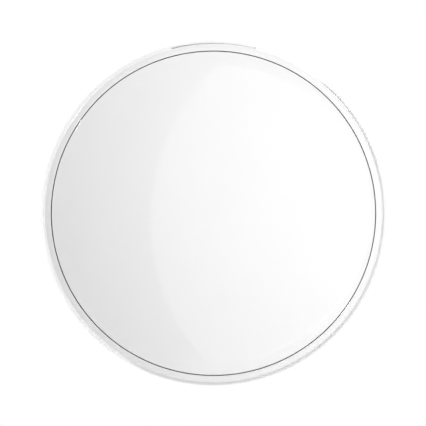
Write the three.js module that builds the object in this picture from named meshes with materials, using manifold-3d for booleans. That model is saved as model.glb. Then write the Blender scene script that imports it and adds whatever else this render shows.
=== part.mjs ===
// A round wall thermostat in two halves. A wall plate stays on the wall and carries the wiring.
// A head pushes onto it, and carries the glossy face, the dial ring that turns round it, the press
// bar at twelve o'clock, the display electronics and two AAA cells.
//
// The drawing faces the reader: x to the right, y up and z out of the wall, in millimetres, with
// z = 0 on the wall. The exported group turns it so that +Z is up and the front faces -Y.

import * as THREE from "three";
import { mergeVertices } from "three/addons/utils/BufferGeometryUtils.js";
import Module from "manifold-3d";

const wasm = await Module();
wasm.setup();

// ---------------------------------------------------------------- driving dimensions

// Clearances
const SEAT = 0.05; // between two faces that rest on each other
const SLIP = 0.2; // between faces that slide or turn past each other
const FIT = 0.3; // round a piece that drops into a pocket or a window

// Head, outside
const CASE_DIAMETER = 84;
const CASE_WALL = 2;
const CASE_SHOULDER = 1; // rounding of the case's front rim
const WALL_GAP = 1; // the head's rear rim stands this far off the wall
const RING_STEP = 0.9; // the dial ring is this much smaller than the case, in radius
const RING_FACE = 1.6; // width of the ring's flat front face
const RING_EDGE = 0.25; // rounding of the ring's front edges
const LIP_WIDTH = 1.45; // the ring's inner lip, trapped between case and chassis
const LIP_THICKNESS = 1.2;
const CODE_NOTCHES = 32; // read by the dial sensor as the ring turns
const CODE_NOTCH_DEPTH = 0.7;
const GLIDE_WIDTH = 0.9;
const GLIDE_THICKNESS = 0.35;
const LENS_THICKNESS = 1.8;
const LENS_DOME = 0.6; // how far the middle of the face stands in front of its edge
const HAIRLINE = 0.2; // the dark gap between face and ring

// Press bar at twelve o'clock
const BAR_WIDTH = 20;
const BAR_DROP = 0.1; // the bar's top lies this far inside the case's outline
const GROOVE_WIDTH = 0.4; // of the nail groove that shows between the bar and the dial ring
const GROOVE_DEPTH = 0.5;
const BAR_TRAVEL = 0.8;
const BAR_MARGIN = 0.1; // of the bar in front of its stem
const BAR_FLANGE = 1.1; // thickness of the flange that keeps the bar in the case
const BAR_FLANGE_OVERHANG = 2; // beyond each end of the bar
const STEM_WIDTH = 3;
const STEM_HEIGHT = 1.2;
const SWITCH_SIZE = [6, 3.6, 2];
const PLUNGER_SIZE = [1.6, 1.9, 0.9];

// Vents through the skirt
const VENT_WIDTH = 1.5;
const VENT_STEP = 4.6; // degrees
const LOWER_VENTS = 11;
const UPPER_VENTS = 4; // on each side of the press bar
const UPPER_VENT_GAP = 3; // degrees between the bar's flange and the first of them

// Head, inside
const HEAD_CLEARANCE = 0.5; // between the tallest piece on the wall plate and the head
const BULKHEAD = 1.4;
const POCKET_WALL = 1.2;
const CELL_DIAMETER = 10.5;
const CELL_LENGTH = 44.5; // over the nub
const CELL_NUB = [3.8, 1.2]; // diameter and height
const CONTACT_SPACE = 2.55; // at each end of the cells
const CONTACT_SHEET = 0.4;
const CHASSIS_WALL = 1.5;
const LEDGE_WIDTH = 1.2;
const LEDGE_THICKNESS = 0.9;
const GASKET_THICKNESS = 0.3;
const BOARD_THICKNESS = 1.2;
const MAIN_BOARD_GAP = 0.4; // between the battery pocket and the main board; more makes a deeper head
const DISPLAY_SIZE = [40, 24, 0.8];
const GUIDE_THICKNESS = 1.2;
const SCREW_INSET = 4; // screw columns, in from the chassis bore
const COLUMN_RADIUS = 2.6;
const CASE_COLUMN_HEIGHT = 7;
const CASE_SCREW_ANGLES = [45, 135, 225, 315];
const BOARD_SCREW_ANGLES = [70, 110, 250, 290];
const SCREW_SHANK = 1;
const SCREW_CLEARANCE = 0.15;
const SCREW_HEAD = [1.9, 1.1]; // radius and height
const SCREW_LENGTH = 6;
const DIAL_SENSOR_ANGLE = 213;
const DIAL_SENSOR_SIZE = [3.1, 5, 3];
const SMALL_BOARD = 0.8; // thickness of the two little boards behind the dial
const SENSOR_BOARD_WIDTH = 8;

// Wall plate
const PLATE_CLEARANCE = 0.6; // between the plate's rim and the head's skirt
const PLATE_FLOOR = 1.8;
const PLATE_WALL = 1.8;
const PLATE_DEPTH = 8;
const PLATE_CHAMFER = 0.4;
const RECESS = 0.6; // depth of the hollow in the plate's back
const RECESS_BORE = 11; // radius of the flat pad in the middle of the back
const RECESS_MARGIN = 1.5;
const SPOKE_WIDTH = 1.6;
const SLOT_INSET = 7.6; // screw slots, in from the inside of the plate's rim
const SLOT_WIDTH = 4;
const SLOT_LENGTH = 9;
const SLOT_SEAT = 0.8;
const OPENING_SIZE = [13, 14]; // for the wires
const OPENING_BOTTOM = 4; // above the plate's centre
const COLLAR_WALL = 1;
const COLLAR_HEIGHT = 1.6;
const TONGUE_ANGLES = [45, 135, 225, 315];
const TONGUE_HALF_ANGLE = 7;
const TONGUE_SLIT = 0.9;
const TONGUE_GRIP = 0.15; // left between a tongue's bump and the skirt
const KEY_WIDTH = 3; // of the ribs that stop the head from turning on the plate
const KEY_REACH = 1.2;
const RIB_WIDTH = 1.2;
const RIB_HEIGHT = 2;

// Wiring on the plate
const BASE_BOARD_STANDOFF = 0.8;
const BASE_BOARD_MARGIN = 0.6; // of the board round what stands on it
const STAKE = [1, 1.8]; // radii of a stake and of its melted head
const POLES = 3; // in each terminal block
const POLE_PITCH = 6;
const TERMINAL_WIDTH = 10;
const TERMINAL_HEIGHT = 6.6;
const TERMINAL_END = 0.3; // block beyond its outer poles
const TERMINAL_CENTRE = 4; // above the plate's centre
const WELL = 4.2;
const WELL_FLOOR = 0.7; // thickness of block left below a well
const WIRE_HOLE = 1.3; // radius
const WIRE_HOLE_HEIGHT = 2.5; // above the board
const BUTTON_STANDOUT = 0.8;
const BUTTON_HEIGHT = 2.9;
const BUTTON_TRAVEL = 1.4;
const CLAMP_SHEET = 0.4;
const PIN_COUNT = 6;
const PIN_PITCH = 2;
const PIN_SIZE = 0.7;
const PIN_REACH = 3.8; // of the pins into the socket
const HEADER_HEIGHT = 3;
const HEADER_END = 1; // beyond the outer pins' pitch
const HEADER_INSET = 3.3; // below the battery pocket
const SOCKET_WALL = 0.4; // of the socket beyond the header's outline
const SOCKET_HEIGHT = 4.4;
const SOCKET_DEPTH = 5.6;
const RELAY_SIZE = [8.5, 11.5, 5.4];
const RELAY_GAP = 1.2; // below the terminal blocks
const LEVEL_RADIUS = 3.2;
const LEVEL_LENGTH = 18;
const LEVEL_WALL = 0.6;
const LEVEL_INSET = 9; // in from the plate's rim

// Roundness, in sides
const LARGE = 64; // what goes round the outside
const HIDDEN = 40; // large rounds inside
const MEDIUM = 20;
const SMALL = 12;

// ---------------------------------------------------------------- radii worked out from these

const caseR = CASE_DIAMETER / 2;
const skirtBore = caseR - CASE_WALL;
const ringR = caseR - RING_STEP;
const ringBore = ringR - RING_FACE;
const lensR = ringBore - HAIRLINE;
const chassisR = ringBore - FIT;
const lipBore = ringBore - LIP_WIDTH;
const neckR = lipBore - FIT;
const chassisBore = neckR - CHASSIS_WALL;
const ledgeBore = chassisBore - LEDGE_WIDTH;
const columnR = chassisBore - SCREW_INSET;
const screwHoleR = SCREW_SHANK + SCREW_CLEARANCE;
const guideR = columnR - SCREW_HEAD[0] - FIT;
const plateR = skirtBore - PLATE_CLEARANCE;
const plateBore = plateR - PLATE_WALL;
const slotX = plateBore - SLOT_INSET;
const flangeR = skirtBore - FIT; // outside of the press bar's flange
const flangeHalf = BAR_WIDTH / 2 + BAR_FLANGE_OVERHANG;

// ---------------------------------------------------------------- levels, out from the wall

const baseBoardBack = PLATE_FLOOR + BASE_BOARD_STANDOFF + SEAT;
const baseBoardFront = baseBoardBack + BOARD_THICKNESS;
const onBaseBoard = baseBoardFront + SEAT;
const wellFloor = onBaseBoard + WELL_FLOOR;
const terminalFront = onBaseBoard + TERMINAL_HEIGHT;
const keyBack = terminalFront + BUTTON_STANDOUT - BUTTON_HEIGHT;
const bulkheadBack = terminalFront + BUTTON_STANDOUT + HEAD_CLEARANCE;
const bulkheadFront = bulkheadBack + BULKHEAD;
const onBulkhead = bulkheadFront + SEAT;
const cellZ = bulkheadBack + FIT + CELL_DIAMETER / 2;
const pocketFloor = cellZ + CELL_DIAMETER / 2 + FIT;
const pocketFront = pocketFloor + POCKET_WALL;
const mainBoardBack = pocketFront + MAIN_BOARD_GAP;
const mainBoardFront = mainBoardBack + BOARD_THICKNESS;
const onMainBoard = mainBoardFront + SEAT;
const guideBack = onMainBoard + DISPLAY_SIZE[2] + SLIP;
const lensBack = guideBack + GUIDE_THICKNESS + SLIP;
const headFront = lensBack + LENS_THICKNESS; // flat ring face, and edge of the domed lens
const ledgeFront = lensBack - GASKET_THICKNESS - 2 * SEAT;
const smallBoardFront = onBulkhead + SMALL_BOARD;
const stemZ = smallBoardFront + SEAT + SWITCH_SIZE[2] / 2;
const barBack = PLATE_DEPTH + PLATE_CLEARANCE;
const barFront = stemZ + STEM_HEIGHT / 2 + BAR_MARGIN;
const caseFront = barFront + SLIP;
const glideBack = caseFront + SEAT;
const ringBack = glideBack + GLIDE_THICKNESS + SLIP;
const lipFront = ringBack + LIP_THICKNESS;
const chassisShoulder = lipFront + SLIP;
const dialSensorFront = chassisShoulder - 2 * FIT;

// ---------------------------------------------------------------- places shared by several pieces

const terminalIn = OPENING_SIZE[0] / 2 + COLLAR_WALL + 3 * FIT; // block's side towards the wires
const terminalOut = terminalIn + TERMINAL_WIDTH;
const wellOut = terminalOut - 1.8;
const wellIn = wellOut - WELL;
const poleY = (pole) => TERMINAL_CENTRE + (pole - (POLES - 1) / 2) * POLE_PITCH;
const terminalTop = poleY(POLES - 1) + POLE_PITCH / 2 + TERMINAL_END;
const terminalBottom = poleY(0) - POLE_PITCH / 2 - TERMINAL_END;
const relayBottom = terminalBottom - RELAY_GAP - RELAY_SIZE[1];
const cellY = CELL_DIAMETER / 2 + FIT; // of the upper cell; the lower one lies at minus this
const pocketHalfHeight = CELL_DIAMETER + 2 * FIT;
const pocketHalfLength = CELL_LENGTH / 2 + CONTACT_SPACE;
const headerY = -(pocketHalfHeight + HEADER_INSET + POCKET_WALL);
const headerWidth = PIN_COUNT * PIN_PITCH + 2 * HEADER_END;
const socketBottom = headerY - SOCKET_HEIGHT / 2;
const pinX = (pin) => (pin - (PIN_COUNT - 1) / 2) * PIN_PITCH;
const pinTip = onBaseBoard + SOCKET_DEPTH - PIN_REACH;
const stakeHigh = terminalTop + FIT + STAKE[1];
const stakeLow = Math.min(relayBottom, socketBottom) - FIT - STAKE[1];
const stakeX = terminalIn + WELL;
const baseBoardTop = stakeHigh + STAKE[1] + BASE_BOARD_MARGIN;
const baseBoardBottom = stakeLow - STAKE[1] - BASE_BOARD_MARGIN;
const baseBoardWidth = 2 * (terminalOut + BASE_BOARD_MARGIN);
const stemEnd = neckR - 2.3; // y of the bar's stem where it meets the switch
const levelY = plateBore - LEVEL_INSET;
const levelZ = PLATE_FLOOR + LEVEL_RADIUS + SLIP;

// ---------------------------------------------------------------- shapes and booleans

const radians = (degrees) => (degrees * Math.PI) / 180;

// A profile of [radius, z] points, turned about the z axis.
function turned(profile, sides = LARGE) {
  const points = profile.map(([r, z]) => new THREE.Vector2(r, z));
  return new THREE.LatheGeometry(points, sides).rotateX(Math.PI / 2);
}

function annulus(inner, outer, back, front, sides = LARGE) {
  return turned([[inner, back], [outer, back], [outer, front], [inner, front], [inner, back]], sides);
}

function rod(radius, back, front, x = 0, y = 0, sides = SMALL) {
  const round = new THREE.CylinderGeometry(radius, radius, front - back, sides);
  return round.rotateX(Math.PI / 2).translate(x, y, (back + front) / 2);
}

// A rod along x, between two values of x.
function crossRod(radius, x0, x1, y, z, sides = SMALL) {
  const round = new THREE.CylinderGeometry(radius, radius, Math.abs(x1 - x0), sides);
  return round.rotateZ(Math.PI / 2).translate((x0 + x1) / 2, y, z);
}

function block(x0, x1, y0, y1, z0, z1) {
  const box = new THREE.BoxGeometry(Math.abs(x1 - x0), Math.abs(y1 - y0), Math.abs(z1 - z0));
  return box.translate((x0 + x1) / 2, (y0 + y1) / 2, (z0 + z1) / 2);
}

// A block of the given [width, height, depth], centred on x and y, standing on z = back.
function chip([width, height, depth], x, y, back) {
  return block(x - width / 2, x + width / 2, y - height / 2, y + height / 2, back, back + depth);
}

function plate(shape, back, front, curveSegments = 4) {
  const options = { depth: front - back, curveSegments, bevelEnabled: false };
  return new THREE.ExtrudeGeometry(shape, options).translate(0, 0, back);
}

function roundedRectangle(width, height, radius, x = 0, y = 0) {
  const [w, h] = [width / 2 - radius, height / 2 - radius];
  const shape = new THREE.Shape();
  shape.absarc(x + w, y + h, radius, 0, Math.PI / 2);
  shape.absarc(x - w, y + h, radius, Math.PI / 2, Math.PI);
  shape.absarc(x - w, y - h, radius, Math.PI, 1.5 * Math.PI);
  shape.absarc(x + w, y - h, radius, 1.5 * Math.PI, 2 * Math.PI);
  return shape;
}

// The part of a ring about the z axis, at twelve o'clock, that lies between two upright sides.
function arcBand(inner, outer, halfWidth) {
  const shape = new THREE.Shape();
  const [from, to] = [Math.acos(halfWidth / outer), Math.acos(halfWidth / inner)];
  shape.absarc(0, 0, outer, from, Math.PI - from);
  shape.absarc(0, 0, inner, Math.PI - to, to, true);
  return shape;
}

// Points of a quarter round that ends a profile, from its outside to its front.
function quarterRound(outside, front, radius, steps = 4) {
  return Array.from({ length: steps + 1 }, (_, i) => {
    const angle = (i / steps) * (Math.PI / 2);
    return [outside - radius * (1 - Math.cos(angle)), front - radius * (1 - Math.sin(angle))];
  });
}

function solidOf(geometry) {
  const loose = geometry.index ? geometry.toNonIndexed() : geometry.clone();
  loose.deleteAttribute("normal");
  loose.deleteAttribute("uv");
  const merged = mergeVertices(loose, 1e-4);
  const mesh = new wasm.Mesh({
    numProp: 3,
    vertProperties: merged.attributes.position.array,
    triVerts: new Uint32Array(merged.index.array),
  });
  return new wasm.Manifold(mesh);
}

// All of the first list joined into one body, less all of the second.
function carve(added, removed = []) {
  const joined = added.map(solidOf).reduce((body, next) => body.add(next));
  const body = removed.map(solidOf).reduce((left, tool) => left.subtract(tool), joined);
  const { vertProperties, triVerts } = body.getMesh();
  const geometry = new THREE.BufferGeometry();
  geometry.setAttribute("position", new THREE.BufferAttribute(vertProperties, 3));
  geometry.setIndex(new THREE.BufferAttribute(triVerts, 1));
  const faceted = geometry.toNonIndexed();
  faceted.computeVertexNormals();
  return faceted;
}

// ---------------------------------------------------------------- materials

const finish = (color, roughness, metalness = 0, extra = {}) =>
  new THREE.MeshStandardMaterial({ color, roughness, metalness, ...extra });

const glossWhite = finish(0xf4f4f2, 0.12);
const satinWhite = finish(0xeeeeec, 0.4);
const mattWhite = finish(0xe6e6e3, 0.6);
const greyNylon = finish(0x8e9296, 0.55);
const blackPlastic = finish(0x1c1c1e, 0.5);
const amberKey = finish(0xd9822b, 0.45);
const greenBoard = finish(0x1e5b3a, 0.45);
const steel = finish(0xb9bcc0, 0.3, 1);
const nickel = finish(0xd2d0c8, 0.25, 1);
const foamBlack = finish(0x2a2a2c, 0.9);
const cellJacket = finish(0x3b4046, 0.35);
const diffuser = finish(0xf0f1f2, 0.5, 0, { transparent: true, opacity: 0.8 });
const clear = finish(0xe8f2ea, 0.05, 0, { transparent: true, opacity: 0.35 });
const levelGreen = finish(0xa8d820, 0.1, 0, { transparent: true, opacity: 0.7 });

// ---------------------------------------------------------------- wall plate

function bareWallPlate() {
  return turned([
    [0, 0],
    [plateR - PLATE_CHAMFER, 0],
    [plateR, PLATE_CHAMFER],
    [plateR, PLATE_DEPTH],
    [plateBore, PLATE_DEPTH],
    [plateBore, PLATE_FLOOR],
    [0, PLATE_FLOOR],
  ]);
}

function openingShape(grow) {
  const [width, height] = OPENING_SIZE;
  const y = OPENING_BOTTOM + height / 2;
  return roundedRectangle(width + 2 * grow, height + 2 * grow, 2 + grow, 0, y);
}

const slot = (side, grow) =>
  roundedRectangle(SLOT_WIDTH + grow, SLOT_LENGTH + grow, (SLOT_WIDTH + grow) / 2, side * slotX, 0);

// The shallow hollow in the plate's back: a ring broken by spokes and by pads behind the slots.
function backRecess() {
  const spokes = [45, 90, 135].map((angle) =>
    block(-plateR, plateR, -SPOKE_WIDTH / 2, SPOKE_WIDTH / 2, -1, 2).rotateZ(radians(angle)),
  );
  const pads = [-1, 1].map((side) => rod(SLOT_LENGTH * 0.8, -1, 2, side * slotX, 0, MEDIUM));
  const collar = plate(openingShape(2 * COLLAR_WALL), -1, 2);
  const hollow = annulus(RECESS_BORE, plateBore - RECESS_MARGIN, -1, RECESS, HIDDEN);
  return carve([hollow], [...spokes, ...pads, collar]);
}

// One value for each heat stake, at [x, y].
const eachStake = (make) => [-stakeX, stakeX].flatMap((x) => [stakeLow, stakeHigh].map((y) => make(x, y)));

// Pins that pass through the board and are melted over in front of it.
function heatStake(x, y) {
  const [radius, headRadius] = STAKE;
  return [
    rod(headRadius + 0.4, PLATE_FLOOR - 0.1, baseBoardBack - SEAT, x, y),
    rod(radius, PLATE_FLOOR, onBaseBoard + 0.2, x, y),
    rod(headRadius, onBaseBoard, onBaseBoard + 0.7, x, y),
  ];
}

// A bump on the plate's rim that grips the head's skirt, on a tongue freed by two slits.
function tongue(angle) {
  const z = (PLATE_FLOOR + PLATE_DEPTH) / 2 + 1;
  const bump = new THREE.CylinderGeometry(1, 1, 4.5, 10).translate(skirtBore - TONGUE_GRIP - 1, 0, z);
  bump.rotateZ(radians(angle));
  const rimR = (plateBore + plateR) / 2;
  const slit = chip([PLATE_WALL + 2, TONGUE_SLIT, PLATE_DEPTH], rimR, 0, PLATE_FLOOR + 0.6);
  const slits = [-1, 1].map((side) => slit.clone().rotateZ(radians(angle + side * TONGUE_HALF_ANGLE)));
  return { bump, slits };
}

function wallPlate() {
  const tongues = TONGUE_ANGLES.map(tongue);
  const collar = plate(openingShape(COLLAR_WALL), PLATE_FLOOR - 0.1, PLATE_FLOOR + COLLAR_HEIGHT);
  const seats = [-1, 1].map((side) => plate(slot(side, 5), PLATE_FLOOR - 0.1, PLATE_FLOOR + SLOT_SEAT, 5));
  const cradleSize = [2, 2 * LEVEL_RADIUS + 2.4, levelZ - PLATE_FLOOR + 1];
  const cradle = chip(cradleSize, LEVEL_LENGTH / 3, levelY, PLATE_FLOOR - 0.1);
  const cradles = [cradle, cradle.clone().translate((-2 * LEVEL_LENGTH) / 3, 0, 0)];
  const [ribFrom, ribTo] = [Math.hypot(baseBoardWidth / 2, baseBoardBottom) + FIT, plateBore + 0.5];
  const ribFront = PLATE_FLOOR + RIB_HEIGHT;
  const rib = block(ribFrom, ribTo, -RIB_WIDTH / 2, RIB_WIDTH / 2, PLATE_FLOOR - 0.1, ribFront);
  const ribs = [60, 120, 240, 300].map((angle) => rib.clone().rotateZ(radians(angle)));
  const keyways = [-1, 1].map((side) =>
    chip([2 * PLATE_WALL + 1, KEY_WIDTH + 2 * FIT, PLATE_DEPTH], side * plateR, 0, PLATE_FLOOR + 0.2),
  );
  return carve(
    [
      bareWallPlate(),
      collar,
      ...seats,
      ...cradles,
      ...ribs,
      ...eachStake(heatStake).flat(),
      ...tongues.map(({ bump }) => bump),
    ],
    [
      plate(openingShape(0), -1, PLATE_FLOOR + COLLAR_HEIGHT + 1),
      ...[-1, 1].map((side) => plate(slot(side, 0), -1, PLATE_FLOOR + SLOT_SEAT + 1, 5)),
      crossRod(LEVEL_RADIUS + SEAT * 2, -LEVEL_LENGTH, LEVEL_LENGTH, levelY, levelZ, MEDIUM),
      ...tongues.flatMap(({ slits }) => slits),
      ...keyways,
      backRecess(),
    ],
  );
}

// ---------------------------------------------------------------- wiring on the plate

function baseBoard() {
  const height = baseBoardTop - baseBoardBottom;
  const outline = roundedRectangle(baseBoardWidth, height, 1.5, 0, baseBoardBottom + height / 2);
  const notch = OPENING_SIZE[0] / 2 + COLLAR_WALL + FIT;
  const notchBottom = OPENING_BOTTOM - COLLAR_WALL - FIT;
  return carve(
    [plate(outline, baseBoardBack, baseBoardFront)],
    [
      block(-notch, notch, notchBottom, baseBoardTop + 1, 0, baseBoardFront + 1),
      ...eachStake((x, y) => rod(STAKE[0] + SLIP, 0, baseBoardFront + 1, x, y)),
    ],
  );
}

// side is 1 for the block right of the wires and -1 for the one left of them.
function terminalBlock(side) {
  const holeZ = onBaseBoard + WIRE_HOLE_HEIGHT;
  const cuts = Array.from({ length: POLES }, (_, pole) => {
    const y = poleY(pole);
    return [
      chip([WELL, WELL, TERMINAL_HEIGHT], (side * (wellIn + wellOut)) / 2, y, wellFloor),
      crossRod(WIRE_HOLE, side * (terminalIn - 1), side * (wellIn + 0.5), y, holeZ),
      crossRod(WIRE_HOLE + 0.6, side * (terminalIn - 1), side * (terminalIn + 0.5), y, holeZ),
    ];
  });
  const [inner, outer] = [side * terminalIn, side * terminalOut];
  const body = block(inner, outer, terminalBottom, terminalTop, onBaseBoard, terminalFront);
  return carve([body], cuts.flat());
}

// A key in the well: pressing it in opens the spring clamp below it.
function terminalButton(side, pole) {
  const [x, y, size] = [(side * (wellIn + wellOut)) / 2, poleY(pole), WELL - 2 * SLIP];
  const toolSlot = chip([0.8, 2.6, 1], x, y, keyBack + BUTTON_HEIGHT - 0.5);
  return carve([chip([size, size, BUTTON_HEIGHT], x, y, keyBack)], [toolSlot]);
}

// A bent strip of spring steel: along the floor of the well, up its outer side, and back as a jaw.
function terminalClamp(side, pole) {
  const [inner, outer] = [wellIn + SLIP, wellOut - SLIP];
  const floor = wellFloor + SEAT;
  const top = keyBack - BUTTON_TRAVEL - SLIP;
  const drop = 0.4 * (top - floor);
  const strip = new THREE.Shape();
  strip.moveTo(inner, floor);
  strip.lineTo(outer, floor);
  strip.lineTo(outer, top);
  strip.lineTo(inner + 0.6, top - drop);
  strip.lineTo(inner + 0.5, top - drop - CLAMP_SHEET);
  strip.lineTo(outer - CLAMP_SHEET, top - CLAMP_SHEET - 0.1);
  strip.lineTo(outer - CLAMP_SHEET, floor + CLAMP_SHEET);
  strip.lineTo(inner, floor + CLAMP_SHEET);
  const width = WELL - 4 * SLIP;
  const right = new THREE.ExtrudeGeometry(strip, { depth: width, bevelEnabled: false })
    .translate(0, 0, -width / 2)
    .rotateX(Math.PI / 2);
  return right.rotateZ(side > 0 ? 0 : Math.PI).translate(0, poleY(pole), 0);
}

function baseSocket() {
  const size = [headerWidth + 2 * SOCKET_WALL, SOCKET_HEIGHT, SOCKET_DEPTH];
  const holes = Array.from({ length: PIN_COUNT }, (_, pin) =>
    chip([PIN_SIZE + 2 * SLIP, PIN_SIZE + 2 * SLIP, PIN_REACH + 2], pinX(pin), headerY, pinTip - 0.6),
  );
  return carve([chip(size, 0, headerY, onBaseBoard)], holes);
}

function relay(side) {
  const x = side * (terminalOut - RELAY_SIZE[0] / 2);
  return chip(RELAY_SIZE, x, relayBottom + RELAY_SIZE[1] / 2, onBaseBoard);
}

// The level's pieces are turned about z and then laid along x, in the cradles.
const layLevel = (geometry) => geometry.rotateY(Math.PI / 2).translate(0, levelY, levelZ);

function levelVial() {
  const [half, bore] = [LEVEL_LENGTH / 2, LEVEL_RADIUS - LEVEL_WALL];
  const profile = [
    [0, -half],
    [LEVEL_RADIUS, -half],
    [LEVEL_RADIUS, half],
    [bore, half],
    [bore, 1 - half],
    [0, 1 - half],
  ];
  return layLevel(turned(profile, MEDIUM));
}

function levelPlug() {
  const half = LEVEL_LENGTH / 2;
  return layLevel(rod(LEVEL_RADIUS - LEVEL_WALL - SEAT, half - 1, half, 0, 0, MEDIUM));
}

function levelLiquid() {
  const [half, radius] = [LEVEL_LENGTH / 2 - 1 - SEAT, LEVEL_RADIUS - LEVEL_WALL - SEAT];
  const bubble = new THREE.SphereGeometry(1, 12, 8).scale(1.3, 1, 2.1).translate(0, radius, 0);
  return layLevel(carve([rod(radius, -half, half, 0, 0, MEDIUM)], [bubble]));
}

// ---------------------------------------------------------------- rear case

function ventCuts() {
  const flangeAngle = THREE.MathUtils.radToDeg(Math.asin(flangeHalf / skirtBore));
  const fromTop = Array.from({ length: UPPER_VENTS }, (_, i) => flangeAngle + UPPER_VENT_GAP + i * VENT_STEP);
  const fromFoot = Array.from({ length: LOWER_VENTS }, (_, i) => (i - (LOWER_VENTS - 1) / 2) * VENT_STEP);
  const rows = [
    ...fromTop.flatMap((angle) => [90 - angle, 90 + angle]),
    ...fromFoot.map((angle) => 270 + angle),
  ];
  const slit = chip([2 * CASE_WALL, VENT_WIDTH, caseFront - CASE_SHOULDER - barBack], caseR, 0, barBack);
  return rows.map((angle) => slit.clone().rotateZ(radians(angle)));
}

function rearCase() {
  const shell = turned([
    [0, bulkheadBack],
    [skirtBore, bulkheadBack],
    [skirtBore, WALL_GAP],
    [caseR - PLATE_CHAMFER, WALL_GAP],
    [caseR, WALL_GAP + PLATE_CHAMFER],
    ...quarterRound(caseR, caseFront, CASE_SHOULDER),
    [skirtBore, caseFront],
    [skirtBore, bulkheadFront],
    [0, bulkheadFront],
  ]);
  const [width, height] = [2 * pocketHalfLength, 2 * pocketHalfHeight];
  const pocketSize = [width + 2 * POCKET_WALL, height + 2 * POCKET_WALL, pocketFront - bulkheadBack - 0.2];
  const keyX = skirtBore - KEY_REACH / 2 + 0.1;
  const keySize = [KEY_REACH + 0.2, KEY_WIDTH, bulkheadFront - PLATE_FLOOR - 0.5];
  const screwHole = rod(screwHoleR, bulkheadBack - 1, bulkheadFront + 1, columnR, 0);
  const barHalf = BAR_WIDTH / 2 + FIT;
  const barInside = flangeR - BAR_FLANGE - BAR_TRAVEL - FIT;
  return carve(
    [
      shell,
      chip(pocketSize, 0, 0, bulkheadBack + 0.2),
      ...[-1, 1].map((side) => chip(keySize, side * keyX, 0, PLATE_FLOOR + 0.5)),
    ],
    [
      chip([width, height, pocketFloor - bulkheadBack + 1], 0, 0, bulkheadBack - 1),
      chip([headerWidth + 2 * FIT, HEADER_HEIGHT + 2 * FIT, BULKHEAD + 2], 0, headerY, bulkheadBack - 1),
      ...CASE_SCREW_ANGLES.map((angle) => screwHole.clone().rotateZ(radians(angle))),
      block(-barHalf, barHalf, barInside, caseR + 1, barBack - FIT, caseFront + 1),
      plate(arcBand(barInside, skirtBore, flangeHalf + FIT), bulkheadBack - 1, bulkheadFront + 1, 8),
      ...ventCuts(),
    ],
  );
}

// ---------------------------------------------------------------- press bar and its switch

function topButton() {
  const cap = arcBand(flangeR - BAR_FLANGE / 2, caseR - BAR_DROP, BAR_WIDTH / 2);
  const band = arcBand(flangeR - BAR_FLANGE, flangeR, flangeHalf);
  const groove = arcBand(ringR - 0.2, ringR + GROOVE_WIDTH, BAR_WIDTH / 2 + 1);
  const stemSize = [STEM_WIDTH, flangeR - stemEnd, STEM_HEIGHT];
  return carve(
    [
      plate(cap, barBack, barFront, 10),
      plate(band, barBack, bulkheadFront - FIT, 8),
      chip(stemSize, 0, (flangeR + stemEnd) / 2, stemZ - STEM_HEIGHT / 2),
    ],
    [plate(groove, barFront - GROOVE_DEPTH, barFront + 1, 10)],
  );
}

const plungerEnd = stemEnd - 0.1;
const switchFront = plungerEnd - PLUNGER_SIZE[1] + 0.6; // y of the switch's face

function switchPlunger() {
  return chip(PLUNGER_SIZE, 0, plungerEnd - PLUNGER_SIZE[1] / 2, stemZ - PLUNGER_SIZE[2] / 2);
}

function barSwitch() {
  const [width, height, depth] = PLUNGER_SIZE;
  const wellSize = [width + 2 * SLIP, height + 2 * BAR_TRAVEL, depth + 2 * SLIP];
  const body = chip(SWITCH_SIZE, 0, switchFront - SWITCH_SIZE[1] / 2, smallBoardFront + SEAT);
  return carve([body], [chip(wellSize, 0, switchFront, stemZ - depth / 2 - SLIP)]);
}

function buttonBoard() {
  return block(-6, 6, switchFront - SWITCH_SIZE[1] - 2, chassisBore - 0.9, onBulkhead, smallBoardFront);
}

// ---------------------------------------------------------------- dial ring and what carries it

// Columns that take the screws, each tied to the chassis wall by a web.
function column(angle, front) {
  return [
    rod(COLUMN_RADIUS, onBulkhead, front, columnR, 0).rotateZ(radians(angle)),
    block(columnR, chassisBore + 0.5, -1.2, 1.2, onBulkhead, front).rotateZ(radians(angle)),
  ];
}

// A window through the chassis's neck, with clearance at its sides.
function neckWindow(angle, width, back, front) {
  const size = [CHASSIS_WALL + 2, width + 2 * FIT, front - back];
  return chip(size, (chassisBore + neckR) / 2, 0, back).rotateZ(radians(angle));
}

function chassis() {
  const [, width, height] = DIAL_SENSOR_SIZE;
  const body = turned([
    [chassisBore, onBulkhead],
    [neckR, onBulkhead],
    [neckR, chassisShoulder],
    [chassisR, chassisShoulder],
    [chassisR, ledgeFront],
    [ledgeBore, ledgeFront],
    [ledgeBore, ledgeFront - LEDGE_THICKNESS],
    [chassisBore, ledgeFront - LEDGE_THICKNESS],
    [chassisBore, onBulkhead],
  ]);
  const boardSeat = mainBoardBack - SEAT;
  const caseTop = onBulkhead + CASE_COLUMN_HEIGHT;
  const caseHole = rod(screwHoleR, onBulkhead - 1, caseTop - 0.8, columnR, 0);
  const boardHole = rod(screwHoleR, boardSeat - SCREW_LENGTH, boardSeat + 1, columnR, 0);
  return carve(
    [
      body,
      ...CASE_SCREW_ANGLES.flatMap((angle) => column(angle, caseTop)),
      ...BOARD_SCREW_ANGLES.flatMap((angle) => column(angle, boardSeat)),
    ],
    [
      ...CASE_SCREW_ANGLES.map((angle) => caseHole.clone().rotateZ(radians(angle))),
      ...BOARD_SCREW_ANGLES.map((angle) => boardHole.clone().rotateZ(radians(angle))),
      neckWindow(90, STEM_WIDTH + 2 * FIT, bulkheadFront - 1, stemZ + STEM_HEIGHT),
      neckWindow(270, SENSOR_BOARD_WIDTH, bulkheadFront - 1, smallBoardFront + 2),
      neckWindow(DIAL_SENSOR_ANGLE, width, dialSensorFront - height - FIT, dialSensorFront + FIT),
    ],
  );
}

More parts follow.
